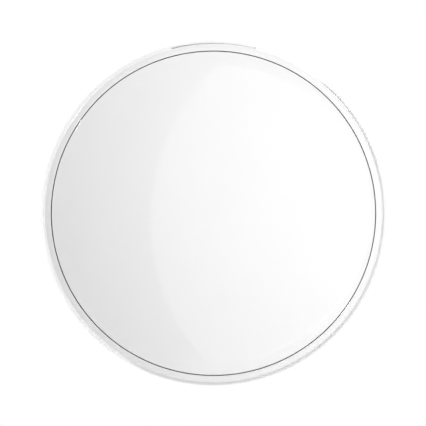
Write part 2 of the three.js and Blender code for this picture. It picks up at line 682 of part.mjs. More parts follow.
function dialRing() {
  const body = turned([
    [lipBore, ringBack],
    [ringR - RING_EDGE, ringBack],
    [ringR, ringBack + RING_EDGE],
    ...quarterRound(ringR, headFront, RING_EDGE, 2),
    [ringBore + RING_EDGE / 2, headFront],
    [ringBore, headFront - RING_EDGE / 2],
    [ringBore, lipFront],
    [lipBore, lipFront],
    [lipBore, ringBack],
  ]);
  const notches = Array.from({ length: CODE_NOTCHES }, (_, i) =>
    block(lipBore - 1, lipBore + CODE_NOTCH_DEPTH, -0.9, 0.9, ringBack - 1, lipFront + 0.5).rotateZ(
      (i / CODE_NOTCHES) * 2 * Math.PI,
    ),
  );
  return carve([body], notches);
}

function glideRing() {
  const inner = skirtBore + 0.15;
  return annulus(inner, inner + GLIDE_WIDTH, glideBack, glideBack + GLIDE_THICKNESS, HIDDEN);
}

function dialSensor() {
  const [depth, , height] = DIAL_SENSOR_SIZE;
  const atRight = chip(DIAL_SENSOR_SIZE, neckR - depth / 2, 0, dialSensorFront - height);
  return atRight.rotateZ(radians(DIAL_SENSOR_ANGLE));
}

// ---------------------------------------------------------------- face and display

function frontLens() {
  const steps = 5;
  const dome = Array.from({ length: steps + 1 }, (_, i) => {
    const radius = (lensR - RING_EDGE) * (1 - i / steps);
    return [radius, headFront + LENS_DOME * (1 - (radius / (lensR - RING_EDGE)) ** 2)];
  });
  return turned([[0, lensBack], [lensR, lensBack], [lensR, headFront - RING_EDGE], ...dome]);
}

const lensGasket = () => annulus(ledgeBore + 1, chassisR - SLIP, ledgeFront + SEAT, lensBack - SEAT, LARGE);

const lightGuide = () => rod(guideR, guideBack, guideBack + GUIDE_THICKNESS, 0, 0, HIDDEN);

const displayModule = () => chip(DISPLAY_SIZE, 0, 0, onMainBoard);

const presenceSensor = () => chip([4, 3, DISPLAY_SIZE[2]], 0, -DISPLAY_SIZE[1] / 2 - 8, onMainBoard);

function mainBoard() {
  const disc = rod(ledgeBore - FIT, mainBoardBack, mainBoardFront, 0, 0, HIDDEN);
  const holes = BOARD_SCREW_ANGLES.map((angle) =>
    rod(screwHoleR, mainBoardBack - 1, mainBoardFront + 1, columnR, 0).rotateZ(radians(angle)),
  );
  return carve([disc], holes);
}

// Pieces soldered to the back of the main board, clear of the battery pocket.
const underMainBoard = (size, x, y) => chip(size, x, y, mainBoardBack - SEAT - size[2]);
const besidePocket = pocketHalfHeight + POCKET_WALL + 1;

const radioModule = () => underMainBoard([11, 7.5, 2.2], -9.3, besidePocket + 3.75);
const processor = () => underMainBoard([7, 7, 1], 9, besidePocket + 3.5);

function buzzer() {
  const front = mainBoardBack - SEAT;
  return rod(3.5, front - 3.2, front, 11.2, -besidePocket - 3.5, MEDIUM);
}

// ---------------------------------------------------------------- temperature sensor

function sensorBoard() {
  const [outer, inner] = [neckR - SLIP, columnR - COLUMN_RADIUS];
  return block(-SENSOR_BOARD_WIDTH / 2, SENSOR_BOARD_WIDTH / 2, -outer, -inner, onBulkhead, smallBoardFront);
}

const temperatureSensor = () => chip([3, 3, 1], 0, -neckR + 2.6, smallBoardFront + SEAT);

// ---------------------------------------------------------------- connector between the halves

function pinHeader() {
  const back = bulkheadBack - 0.6;
  const body = chip([headerWidth, HEADER_HEIGHT, mainBoardBack - SEAT - back], 0, headerY, back);
  const pins = Array.from({ length: PIN_COUNT }, (_, pin) =>
    chip([PIN_SIZE, PIN_SIZE, bulkheadBack - pinTip], pinX(pin), headerY, pinTip),
  );
  return carve([body, ...pins]);
}

// ---------------------------------------------------------------- cells and contacts

// A cell lies along x. nub is 1 for the cell whose nub points right, and -1 for the other.
const cellShift = CONTACT_SPACE - CONTACT_SHEET - 0.8 - 2 * SLIP; // towards the nub's contact
function cell(nub) {
  const [radius, half, [nubWidth, nubHeight]] = [CELL_DIAMETER / 2, CELL_LENGTH / 2, CELL_NUB];
  const profile = [
    [0, -half],
    [radius - 0.6, -half],
    [radius, 0.6 - half],
    [radius, half - nubHeight - 0.6],
    [radius - 0.6, half - nubHeight],
    [nubWidth / 2, half - nubHeight],
    [nubWidth / 2, half],
    [0, half],
  ];
  const along = turned(profile, MEDIUM).rotateY(Math.PI / 2);
  return along.rotateZ(nub > 0 ? 0 : Math.PI).translate(nub * cellShift, nub * cellY, cellZ);
}

// A cone of wire about the x axis, wide end at x = 0.
class ContactCoil extends THREE.Curve {
  constructor(wide, narrow, length, turns) {
    super();
    Object.assign(this, { wide, narrow, length, turns });
  }

  getPoint(t, target = new THREE.Vector3()) {
    const [angle, radius] = [t * this.turns * 2 * Math.PI, this.wide + (this.narrow - this.wide) * t];
    return target.set(this.length * t, radius * Math.cos(angle), radius * Math.sin(angle));
  }
}

// The coil that presses on a cell's flat end. side is the end of the pocket it stands at.
function contactSpring(side, nub) {
  const wire = 0.35;
  const inside = pocketHalfLength - SEAT - CONTACT_SHEET;
  const cellEnd = CELL_LENGTH / 2 - cellShift;
  const length = inside - cellEnd - SLIP - 2 * wire + 0.2;
  const section = new THREE.Shape().absarc(0, 0, wire, 0, 2 * Math.PI);
  const path = new ContactCoil(3.6, 2.2, length, 2.25);
  const options = { steps: 30, extrudePath: path, curveSegments: 3, bevelEnabled: false };
  const coil = new THREE.ExtrudeGeometry(section, options);
  const turnedIn = coil.translate(wire - 0.2, 0, 0).rotateZ(side > 0 ? Math.PI : 0);
  return turnedIn.translate(side * inside, nub * cellY, cellZ);
}

// A sheet-metal contact on the pocket's end wall, reaching over the cells between two values of y.
function contactSheet(side, low, high) {
  const outside = pocketHalfLength - SEAT;
  const reach = CELL_DIAMETER / 2 - 0.8;
  return block(side * (outside - CONTACT_SHEET), side * outside, low, high, cellZ - reach, cellZ + reach);
}

function contactDimple(side, nub) {
  const outside = pocketHalfLength - SEAT;
  return crossRod(1.6, side * (outside - CONTACT_SHEET - 0.8), side * (outside - 0.1), nub * cellY, cellZ);
}

const contactEdge = pocketHalfHeight - 0.8;

const contactBridge = () =>
  carve([contactSheet(-1, -contactEdge, contactEdge), contactSpring(-1, 1), contactDimple(-1, -1)]);
const contactPositive = () => carve([contactSheet(1, 1, contactEdge), contactDimple(1, 1)]);
const contactNegative = () => carve([contactSheet(1, -contactEdge, -1), contactSpring(1, -1)]);

// ---------------------------------------------------------------- screws

// A pan-head screw driven towards +z, with the underside of its head at z = 0.
function screw() {
  const [headRadius, headHeight] = SCREW_HEAD;
  const profile = [
    [0, -headHeight],
    [headRadius - 0.5, -headHeight],
    [headRadius, -headHeight + 0.5],
    [headRadius, 0],
    [SCREW_SHANK, 0],
    [SCREW_SHANK, SCREW_LENGTH - 1],
    [SCREW_SHANK / 2, SCREW_LENGTH],
    [0, SCREW_LENGTH],
  ];
  const cross = [[2.4, 0.5, 1], [0.5, 2.4, 1]].map((size) => chip(size, 0, 0, -headHeight - 0.5));
  return carve([turned(profile, SMALL)], cross);
}

function placeOnColumn(mesh, angle, z) {
  mesh.position.set(columnR * Math.cos(radians(angle)), columnR * Math.sin(radians(angle)), z);
}

// ---------------------------------------------------------------- assembly

function piece(name, geometry, material) {
  const mesh = new THREE.Mesh(geometry, material.clone());
  mesh.name = name;
  return mesh;
}

function makeWallBase() {
  const group = new THREE.Group();
  group.add(
    piece("wall_plate", wallPlate(), mattWhite),
    piece("base_board", baseBoard(), greenBoard),
    piece("terminal_block_left", terminalBlock(-1), greyNylon),
    piece("terminal_block_right", terminalBlock(1), greyNylon),
    piece("base_socket", baseSocket(), blackPlastic),
    piece("relay_left", relay(-1), blackPlastic),
    piece("relay_right", relay(1), blackPlastic),
    piece("level_vial", levelVial(), clear),
    piece("level_plug", levelPlug(), clear),
    piece("level_liquid", levelLiquid(), levelGreen),
  );
  [-1, 1].forEach((side, block) => {
    for (let pole = 0; pole < POLES; pole += 1) {
      const number = block * POLES + pole + 1;
      group.add(
        piece(`terminal_button_${number}`, terminalButton(side, pole), amberKey),
        piece(`terminal_clamp_${number}`, terminalClamp(side, pole), steel),
      );
    }
  });
  return group;
}

function makeDial() {
  const group = new THREE.Group();
  group.add(piece("dial_ring", dialRing(), glossWhite));
  return group;
}

function makePressBar() {
  const group = new THREE.Group();
  group.add(
    piece("top_button", topButton(), satinWhite),
    piece("switch_plunger", switchPlunger(), blackPlastic),
  );
  return group;
}

function makeHead() {
  const group = new THREE.Group();
  group.add(
    piece("rear_case", rearCase(), satinWhite),
    piece("chassis", chassis(), mattWhite),
    piece("glide_ring", glideRing(), greyNylon),
    piece("front_lens", frontLens(), glossWhite),
    piece("lens_gasket", lensGasket(), foamBlack),
    piece("light_guide", lightGuide(), diffuser),
    piece("display_module", displayModule(), blackPlastic),
    piece("presence_sensor", presenceSensor(), blackPlastic),
    piece("main_board", mainBoard(), greenBoard),
    piece("processor", processor(), blackPlastic),
    piece("radio_module", radioModule(), steel),
    piece("buzzer", buzzer(), blackPlastic),
    piece("dial_sensor", dialSensor(), blackPlastic),
    piece("button_board", buttonBoard(), greenBoard),
    piece("button_switch", barSwitch(), blackPlastic),
    piece("sensor_board", sensorBoard(), greenBoard),
    piece("temperature_sensor", temperatureSensor(), blackPlastic),
    piece("pin_header", pinHeader(), blackPlastic),
    piece("battery_upper", cell(1), cellJacket),
    piece("battery_lower", cell(-1), cellJacket),
    piece("contact_bridge", contactBridge(), nickel),
    piece("contact_positive", contactPositive(), nickel),
    piece("contact_negative", contactNegative(), nickel),
  );
  CASE_SCREW_ANGLES.forEach((angle, i) => {
    const mesh = piece(`case_screw_${i + 1}`, screw(), steel);
    placeOnColumn(mesh, angle, bulkheadBack - SEAT);
    group.add(mesh);
  });
  BOARD_SCREW_ANGLES.forEach((angle, i) => {
    const mesh = piece(`board_screw_${i + 1}`, screw(), steel);
    placeOnColumn(mesh, angle, mainBoardFront + SEAT);
    mesh.rotation.y = Math.PI;
    group.add(mesh);
  });
  group.add(makeDial(), makePressBar());
  return group;
}

const thermostat = new THREE.Group();
thermostat.add(makeWallBase(), makeHead());
thermostat.rotation.x = Math.PI / 2;

export default thermostat;
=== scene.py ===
import math
import bmesh
import bpy
from mathutils import Matrix, Vector


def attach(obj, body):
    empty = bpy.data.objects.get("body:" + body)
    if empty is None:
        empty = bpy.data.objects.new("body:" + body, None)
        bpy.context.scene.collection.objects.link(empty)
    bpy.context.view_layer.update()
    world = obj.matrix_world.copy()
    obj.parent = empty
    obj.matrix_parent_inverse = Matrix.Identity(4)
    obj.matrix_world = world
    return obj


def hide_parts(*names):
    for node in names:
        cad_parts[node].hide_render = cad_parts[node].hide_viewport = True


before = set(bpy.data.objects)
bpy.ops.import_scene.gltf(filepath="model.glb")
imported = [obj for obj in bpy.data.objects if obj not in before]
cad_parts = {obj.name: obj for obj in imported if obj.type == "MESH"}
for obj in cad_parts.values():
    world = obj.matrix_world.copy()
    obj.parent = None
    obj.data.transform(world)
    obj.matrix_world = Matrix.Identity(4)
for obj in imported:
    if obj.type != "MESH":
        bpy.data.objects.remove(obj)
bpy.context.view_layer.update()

# ---------------- camera
# The thermostat is seen square from the front, from far enough away that its rims hardly
# spread.

MM = 0.001
LENS = 1400
SENSOR = 36
VIEW_WIDTH = 103.48  # millimetres across the view, at the dial ring's face
FACE_OUT = 29.95
AIM_X = -0.13
AIM_UP = 0.065


def at(x, up, out):
    """A point given in millimetres to the right, up the wall and out from the wall."""
    return Vector((x, -out, up)) * MM


camera_data = bpy.data.cameras.new("camera")
camera_data.lens = LENS
camera_data.sensor_width = SENSOR
camera_data.clip_start = 0.05
camera_data.clip_end = 20
camera = bpy.data.objects.new("camera", camera_data)
bpy.context.scene.collection.objects.link(camera)
camera.location = at(AIM_X, AIM_UP, FACE_OUT + VIEW_WIDTH * LENS / SENSOR)
camera.rotation_euler = (math.radians(90), 0, 0)
bpy.context.scene.camera = camera
bpy.context.scene.view_settings.view_transform = "Standard"

# ---------------- floor and studio light
# A plain pale table under the thermostat, below the front view, that takes its shadow. The
# world is white to the camera and in reflections, and an even grey to everything it lights.

AMBIENT = 0.21
FLOOR_LIFT = 0.34  # the table's glow as it is seen, and below as it lights things
FLOOR_BOUNCE = 0.2
FLOOR_UP = -140
FLOOR_R = 450


def linear(hex_colour):
    """An sRGB hex colour as the linear RGBA that the sockets take."""
    parts = [int(hex_colour[i:i + 2], 16) / 255 for i in (1, 3, 5)]
    return [c / 12.92 if c <= 0.04045 else ((c + 0.055) / 1.055) ** 2.4 for c in parts] + [1]


def add(tree, kind, inputs=None, **settings):
    """Adds a node with its settings, and values, sockets or whole nodes for its inputs."""
    made = tree.nodes.new("ShaderNode" + kind)
    for name, value in settings.items():
        setattr(made, name, value)
    for socket, value in (inputs or {}).items():
        if isinstance(value, bpy.types.Node):
            value = value.outputs[0]
        if isinstance(value, bpy.types.NodeSocket):
            tree.links.new(value, made.inputs[socket])
        else:
            made.inputs[socket].default_value = value
    return made


def maths(tree, operation, *values):
    return add(tree, "Math", dict(enumerate(values)), operation=operation)


def spread(tree, value, low, high, start=0, end=1):
    """A value between start and end, spread out between low and high."""
    ends = {"From Min": start, "From Max": end, "To Min": low, "To Max": high}
    return add(tree, "MapRange", {"Value": value, **ends})


def surface(name):
    """A new material with an empty node tree."""
    made = bpy.data.materials.new(name)
    made.use_nodes = True
    made.node_tree.nodes.clear()
    return made, made.node_tree


def seen_directly(tree):
    """1 for rays from the camera and in mirrors and glass, 0 for the rays that light things."""
    path = add(tree, "LightPath").outputs
    in_view = maths(tree, "MAXIMUM", path["Is Camera Ray"], path["Is Glossy Ray"])
    return maths(tree, "MAXIMUM", in_view, path["Is Transmission Ray"])


world = bpy.data.worlds.new("studio")
world.use_nodes = True
bpy.context.scene.world = world
sky = world.node_tree
sky.nodes.clear()
strength = spread(sky, seen_directly(sky), AMBIENT, 1)
background = add(sky, "Background", {"Color": linear("#FFFFFF"), "Strength": strength})
add(sky, "OutputWorld", {"Surface": background})

bpy.ops.object.select_all(action="DESELECT")
bpy.ops.mesh.primitive_circle_add(
    vertices=96, radius=FLOOR_R * MM, fill_type="NGON", location=at(0, FLOOR_UP, 0))
floor = bpy.context.object
floor.name = "floor"
bpy.ops.object.transform_apply(location=True, rotation=True, scale=True)

# Painted table top: one even pale tone, dull, and open from below so that it hides nothing there.
floor_paint, tree = surface("pale_table_paint")
paint = add(tree, "BsdfPrincipled", {"Base Color": linear("#F1F1F1"), "Roughness": 0.7})
lift = spread(tree, seen_directly(tree), FLOOR_BOUNCE, FLOOR_LIFT)
glow = add(tree, "Emission", {"Color": linear("#FFFFFF"), "Strength": lift})
lifted = add(tree, "AddShader", {0: paint, 1: glow})
under = add(tree, "NewGeometry").outputs["Backfacing"]
shown = add(tree, "MixShader", {0: under, 1: lifted, 2: add(tree, "BsdfTransparent")})
add(tree, "OutputMaterial", {"Surface": shown})
floor.data.materials.append(floor_paint)


def hang(name, lamp_data, place, aim, watts):
    """Puts a lamp at a place and points it at another, both in millimetres."""
    lamp_data.energy = watts
    lamp = bpy.data.objects.new(name, lamp_data)
    bpy.context.scene.collection.objects.link(lamp)
    lamp.location = at(*place)
    lamp.rotation_euler = (at(*aim) - lamp.location).to_track_quat("-Z", "Y").to_euler()


def softbox(name, place, aim, size, watts, shape="RECTANGLE"):
    lamp_data = bpy.data.lights.new(name, "AREA")
    lamp_data.shape = shape
    lamp_data.size = size * MM
    lamp_data.size_y = size * MM
    hang(name, lamp_data, place, aim, watts)


# A soft-edged spot from the upper left, aimed past the face, so that it fades across it, and a
# round softbox in front that shows in the gloss as a faint curved edge.
fading_spot = bpy.data.lights.new("fading_spot", "SPOT")
fading_spot.spot_size = math.radians(13)
fading_spot.spot_blend = 1
fading_spot.shadow_soft_size = 60 * MM
hang("fading_spot", fading_spot, (-700, 500, 1300), (95, 20, 30), 81)
softbox("round_softbox", (132, -6, 1530), (25, -1, 30), 380, 0.37, "DISK")

# Softboxes round the rim, above, behind and low in front, which shape the rims and light the back.
softbox("left_softbox", (-890, -60, -60), (0, 0, 20), 500, 2.8)
softbox("upper_left_softbox", (-620, 660, -60), (0, 0, 20), 400, 0.8)
softbox("right_softbox", (900, -20, -60), (0, 0, 20), 500, 2.6)
softbox("upper_right_softbox", (680, 680, -60), (0, 0, 20), 400, 4.4)
softbox("top_softbox", (0, 1100, -350), (0, 0, 10), 600, 1)
softbox("back_softbox", (500, 500, -1500), (0, 0, 0), 700, 6.4)
softbox("low_softbox", (150, -330, 1500), (0, 0, 20), 400, 0.45)

# ---------------- front lens
# The face: one disc of cast acrylic, very slightly domed, sprayed white on its back so that the
# display only shows when it is lit. It is polished, and bonded to the chassis by its edge.

LENS_R = 39.3
LENS_EDGE = 0.16
LENS_BACK = 28.15
LENS_RIM = 29.95
LENS_DOME = 0.6
DOME_STEPS = 12
TURNED_STEPS = 192
SMOOTH_BELOW = 30  # degrees between two faces that are shaded as one


def start_fresh():
    """Nothing selected and no mesh open, so that an operator acts on the new piece alone."""
    if bpy.context.object and bpy.context.object.mode == "EDIT":
        bpy.ops.object.mode_set(mode="OBJECT")
    bpy.ops.object.select_all(action="DESELECT")


def named(name):
    """The object just added, with its place moved into its mesh."""
    piece = bpy.context.object
    piece.name = name
    piece.data.name = name
    bpy.ops.object.transform_apply(location=True, rotation=True, scale=True)
    return piece


def draw_out(path):
    """Extrudes what is selected from point to point, each in millimetres right, up and out."""
    for point, next_point in zip(path, path[1:]):
        step = at(*(after - before for before, after in zip(point, next_point)))
        bpy.ops.mesh.extrude_region_move(TRANSFORM_OT_translate={"value": step})


def trace(name, path):
    """One vertex drawn out along a path, with the mesh left open."""
    start_fresh()
    bpy.ops.mesh.primitive_plane_add(size=MM, location=at(*path[0]))
    piece = named(name)
    bpy.ops.object.mode_set(mode="EDIT")
    bpy.ops.mesh.select_mode(type="VERT")
    bpy.ops.mesh.select_all(action="SELECT")
    bpy.ops.mesh.merge(type="CENTER")
    draw_out(path)
    return piece


def close_up():
    """Merges doubles in the open mesh, turns its faces outwards and leaves edit mode."""
    bpy.ops.mesh.select_all(action="SELECT")
    bpy.ops.mesh.remove_doubles(threshold=0.0005 * MM)
    bpy.ops.mesh.normals_make_consistent(inside=False)
    bpy.ops.object.mode_set(mode="OBJECT")


def turn(name, profile, steps=TURNED_STEPS):
    """A profile of (radius, out) points, spun about the thermostat's axis."""
    piece = trace(name, [(radius, 0, out) for radius, out in profile])
    bpy.ops.mesh.select_all(action="SELECT")
    bpy.ops.mesh.spin(steps=steps, angle=math.tau, center=(0, 0, 0), axis=(0, 1, 0))
    close_up()
    return piece


def rounded(radius, out, size, from_degrees, to_degrees, steps=4):
    """Points of a rounded corner of a profile; 0 degrees is outwards and 90 towards the front."""
    part = math.radians(to_degrees - from_degrees) / steps
    angles = [math.radians(from_degrees) + part * i for i in range(steps + 1)]
    return [(radius + size * math.cos(a), out + size * math.sin(a)) for a in angles]


def noise(tree, size, detail, place=None):
    """Noise with patches of a size in millimetres, fixed to the object."""
    place = place or add(tree, "TexCoord").outputs["Object"]
    return add(tree, "TexNoise", {"Vector": place, "Scale": 1 / (size * MM), "Detail": detail})


def mix(tree, factor, low, high):
    """A colour between two, each in hex or from another node."""
    low, high = (linear(shade) if isinstance(shade, str) else shade for shade in (low, high))
    return add(tree, "Mix", {"Factor": factor, 6: low, 7: high}, data_type="RGBA").outputs[2]


def relief(tree, height, strength, depth):
    """Fine bumps and dents, of a depth in millimetres."""
    return add(tree, "Bump", {"Height": height, "Strength": strength, "Distance": depth * MM})


def coat(made, inputs):
    """Closes a material with a shader that has the given inputs."""
    shader = add(made.node_tree, "BsdfPrincipled", inputs)
    add(made.node_tree, "OutputMaterial", {"Surface": shader})
    return made


def finish(piece, material, slot, body, *nodes):
    """Gives a piece its shading, material and body, and hides the CAD nodes it stands for. The slot is not
    used.
    """
    start_fresh()
    piece.select_set(True)
    bpy.context.view_layer.objects.active = piece
    bpy.ops.object.shade_smooth_by_angle(angle=math.radians(SMOOTH_BELOW))
    piece.data.materials.clear()
    piece.data.materials.append(material)
    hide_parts(*nodes)
    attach(piece, body)


flat_r = LENS_R - LENS_EDGE
dome = []
for step in range(1, DOME_STEPS + 1):
    radius = flat_r * (1 - step / DOME_STEPS)
    dome.append((radius, LENS_RIM + LENS_DOME * (1 - (radius / flat_r) ** 2)))
lens = turn("front_lens_acrylic", [
    (0, LENS_BACK),
    (LENS_R - 0.15, LENS_BACK),
    (LENS_R, LENS_BACK + 0.15),
    *rounded(flat_r, LENS_RIM - LENS_EDGE, LENS_EDGE, 0, 90),
    *dome,
])

# Polished cast acrylic over white: a hard clear gloss on an even white, with reflections that
# only waver a little over a centimetre or so.
acrylic, tree = surface("polished_white_backed_acrylic")
waver = noise(tree, 14, 1)
coat(acrylic, {
    "Base Color": mix(tree, waver, "#F5F5F5", "#F3F3F3"),
    "Roughness": spread(tree, waver, 0.008, 0.016),
    "IOR": 1.49,
    "Normal": relief(tree, waver, 0.1, 0.005),
})
finish(lens, acrylic, "gloss_white", "head", "front_lens")

# ---------------- lens gasket
# A flat ring of black closed-cell foam that seals the face to the chassis. It is what shows
# dark in the narrow gap round the face. Die-cut from sheet and stuck down.


def washer(name, inner, outer, back, front, edge, edge_steps=1, steps=TURNED_STEPS):
    """A ring with its four edges chamfered, or rounded in more steps."""
    low, high, near, far = inner + edge, outer - edge, back + edge, front - edge
    profile = [
        *rounded(low, far, edge, 180, 90, edge_steps),
        *rounded(high, far, edge, 90, 0, edge_steps),
        *rounded(high, near, edge, 0, -90, edge_steps),
        *rounded(low, near, edge, -90, -180, edge_steps),
    ]
    return turn(name, [*profile, profile[0]], steps)


gasket = washer("lens_gasket_foam", 36.05, 39, 27.8, 28.1, 0.1, 3)

# EPDM foam: soft black that drinks light, with open cells of about a fifth of a millimetre
# where the die cut it.
foam, tree = surface("die_cut_black_foam")
place = add(tree, "TexCoord").outputs["Object"]
cells = add(tree, "TexVoronoi", {"Vector": place, "Scale": 1 / (0.2 * MM)})
coat(foam, {
    "Base Color": mix(tree, cells, "#17171A", "#2E2E30"),
    "Roughness": 0.95,
    "IOR": 1.45,
    "Normal": relief(tree, cells, 0.8, 0.08),
})
finish(gasket, foam, "gasket_foam", "head", "lens_gasket")

# ---------------- dial ring
# The narrow ring round the face, turned to set the temperature. Injection-moulded ABS, high
# gloss outside; its inner lip is trapped behind the chassis and notched for the dial sensor.

RING_R = 41.1
RING_BORE = 39.5
RING_BACK = 16.6
RING_FRONT = 29.95
RING_EDGE = 0.25
LIP_BORE = 38.05
LIP_FRONT = 17.8
NOTCHES = 32


def block(name, low, high):
    """A cube added at its size and place, between two corners in millimetres."""
    start_fresh()
    low, high = at(*low), at(*high)
    size = [abs(side) for side in high - low]
    bpy.ops.mesh.primitive_cube_add(size=1, location=(low + high) / 2, scale=size)
    return named(name)


def joined(pieces):
    """Several pieces that don't touch, as one."""
    start_fresh()
    for piece in pieces:
        piece.select_set(True)
    bpy.context.view_layer.objects.active = pieces[0]
    bpy.ops.object.join()
    return pieces[0]


def copied(piece, move, name="copy"):
    """A copy with its own mesh, moved by a matrix."""
    twin = piece.copy()
    twin.name = name
    twin.data = piece.data.copy()
    twin.data.name = name
    bpy.context.scene.collection.objects.link(twin)
    twin.data.transform(move)
    return twin


def turned(degrees):
    """A turn about the thermostat's axis, counterclockwise from the front."""
    return Matrix.Rotation(math.radians(-degrees), 4, "Y")


def round_axis(piece, *angles):
    """Turns a piece about the thermostat's axis, with a copy at each further angle, all as one."""
    copies = [copied(piece, turned(angle)) for angle in angles[1:]]
    piece.data.transform(turned(angles[0]))
    return joined([piece, *copies]) if copies else piece


def modify(piece, kind, **settings):
    """Applies one modifier."""
    start_fresh()
    bpy.context.view_layer.objects.active = piece
    modifier = piece.modifiers.new(kind, kind)
    for name, value in settings.items():
        setattr(modifier, name, value)
    bpy.ops.object.modifier_apply(modifier=modifier.name)


def combine(piece, tool, operation):
    """Adds or cuts away another closed piece, which is used up."""
    modify(piece, "BOOLEAN", operation=operation, solver="MANIFOLD", object=tool)
    bpy.data.objects.remove(tool)


def cut(piece, *tools):
    for tool in tools:
        combine(piece, tool, "DIFFERENCE")


def fuse(piece, *others):
    for other in others:
        combine(piece, other, "UNION")


ring = turn("dial_ring_abs", [
    (LIP_BORE, RING_BACK + 0.1),
    (LIP_BORE + 0.1, RING_BACK),
    *rounded(RING_R - RING_EDGE, RING_BACK + RING_EDGE, RING_EDGE, -90, 0),
    *rounded(RING_R - RING_EDGE, RING_FRONT - RING_EDGE, RING_EDGE, 0, 90),
    *rounded(RING_BORE + 0.12, RING_FRONT - 0.12, 0.12, 90, 180),
    *rounded(RING_BORE - 0.3, LIP_FRONT + 0.3, 0.3, 0, -90),
    (LIP_BORE + 0.1, LIP_FRONT),
    (LIP_BORE, LIP_FRONT - 0.1),
    (LIP_BORE, RING_BACK + 0.1),
])
notch = block("notch", (LIP_BORE - 1, -0.9, RING_BACK - 1), (LIP_BORE + 0.7, 0.9, LIP_FRONT + 0.25))
cut(ring, round_axis(notch, *(360 * i / NOTCHES for i in range(NOTCHES))))


def moulded(name, light, dark, rough, grain, depth, ior=1.53):
    """Injection-moulded plastic. Its skin keeps the mould's spark-eroded grain, of the given size and
    depth in millimetres, and its shade and gloss drift a little over the part, as the melt flowed."""
    made, tree = surface(name)
    drift = noise(tree, 18, 3)
    grains = noise(tree, grain, 2)
    uneven = maths(tree, "ADD", drift, grains)
    return coat(made, {
        "Base Color": mix(tree, drift, light, dark),
        "Roughness": spread(tree, uneven, rough * 0.85, rough * 1.15, end=2),
        "IOR": ior,
        "Normal": relief(tree, grains, 0.6, depth),
    })


# High-gloss ABS from a polished mould: nearly a mirror, with the faint orange peel, about a
# millimetre across, that moulded gloss always has.
gloss_abs = moulded("polished_mould_white_abs", "#F1F1F1", "#EFEFEF", 0.1, 1.2, 0.001)
finish(ring, gloss_abs, "gloss_white", "dial", "dial_ring")

# ---------------- glide ring
# A thin flat ring of natural acetal between the dial ring and the case, on which the dial ring
# turns without grease. Stamped from sheet and dropped in.

glide = washer("glide_ring_acetal", 40.15, 41.05, 16.05, 16.4, 0.07)

# Natural acetal: milky, a little waxy and slick, with fine marks from the rolled sheet.
acetal = moulded("stamped_natural_acetal", "#D9DAD6", "#CDCEC9", 0.3, 0.3, 0.004, 1.48)
finish(glide, acetal, "grey_nylon", "head", "glide_ring")

# ---------------- rear case
# The case: a round skirt with a bulkhead across it, a battery pocket and vents in its side.
# One injection moulding in white ABS blend, its outside finely textured and almost matt.

CASE_R = 42
SKIRT_BORE = 40
CASE_BACK = 1
CASE_FRONT = 16
SHOULDER = 1
BULKHEAD_BACK = 11.8
BULKHEAD_FRONT = 13.2
POCKET_X = 24.8  # half its length, and below half its height, inside
POCKET_UP = 11.1
POCKET_FLOOR = 22.9
POCKET_WALL = 1.2
POCKET_FRONT = 24.1
SCREW_R = 32.25
CASE_SCREWS = (45, 135, 225, 315)
VENT_BACK = 8.6
VENT_HALF = 0.75
VENT_STEP = 4.6
VENT_FLARE = 0.5
HEADER_UP = -15.6
BAR_HALF = 10
FLANGE_R = 39.7
FLANGE_HALF = 12
ENDS = {"right": (0, 1), "top": (1, 1), "front": (2, 1), "back": (2, -1)}

case = turn("rear_case_shell", [
    (0, BULKHEAD_BACK),
    *rounded(SKIRT_BORE - 0.5, BULKHEAD_BACK - 0.5, 0.5, 90, 0, 3),
    (SKIRT_BORE, CASE_BACK + 0.3),
    (SKIRT_BORE + 0.3, CASE_BACK),
    *rounded(CASE_R - 0.5, CASE_BACK + 0.5, 0.5, -90, 0),
    *rounded(CASE_R - SHOULDER, CASE_FRONT - SHOULDER, SHOULDER, 0, 90, 8),
    (SKIRT_BORE + 0.1, CASE_FRONT),
    (SKIRT_BORE, CASE_FRONT - 0.1),
    *rounded(SKIRT_BORE - 0.3, BULKHEAD_FRONT + 0.3, 0.3, 0, -90, 3),
    (0, BULKHEAD_FRONT),
])


def in_millimetres(*points):
    """The middle of points of a mesh, in millimetres right, up and out."""
    x, y, z = sum(points, Vector()) / len(points) / MM
    return x, z, -y


def places(item):
    """The middle of a face or edge."""
    return in_millimetres(*(vertex.co for vertex in item.verts))


def at_end(piece, end):
    """A test for the edges or faces at a piece's right, top, front or back end."""
    axis, sign = ENDS[end]
    reach = max(sign * in_millimetres(vertex.co)[axis] for vertex in piece.data.vertices)
    return lambda item: sign * places(item)[axis] > reach - 0.01


def runs_along(axis):
    """A test for the edges that run right ("x"), up ("z") or out ("y")."""
    def test(edge):
        line = edge.verts[1].co - edge.verts[0].co
        return abs(getattr(line, axis)) > 0.999 * line.length
    return test


def select(piece, kind, test):
    """Opens the mesh and selects the faces or edges that pass the test, and nothing else."""
    start_fresh()
    piece.select_set(True)
    bpy.context.view_layer.objects.active = piece
    bpy.ops.object.mode_set(mode="EDIT")
    bpy.ops.mesh.select_mode(type=kind)
    bpy.ops.mesh.select_all(action="DESELECT")
    shape = bmesh.from_edit_mesh(piece.data)
    for item in shape.faces if kind == "FACE" else shape.edges:
        item.select_set(bool(test(item)))
    bmesh.update_edit_mesh(piece.data)


def round_edges(piece, size, test, steps=4):
    """Rounds the edges that pass the test, to a radius in millimetres."""
    select(piece, "EDGE", test)
    bpy.ops.mesh.bevel(offset=size * MM, segments=steps, affect="EDGES", clamp_overlap=True)
    bpy.ops.object.mode_set(mode="OBJECT")


def soften(piece, size, steps=2, angle=35):
    """Rounds all edges sharper than an angle a little, as a mould leaves them."""
    modify(piece, "BEVEL", width=size * MM, segments=steps, limit_method="ANGLE",
           angle_limit=math.radians(angle))


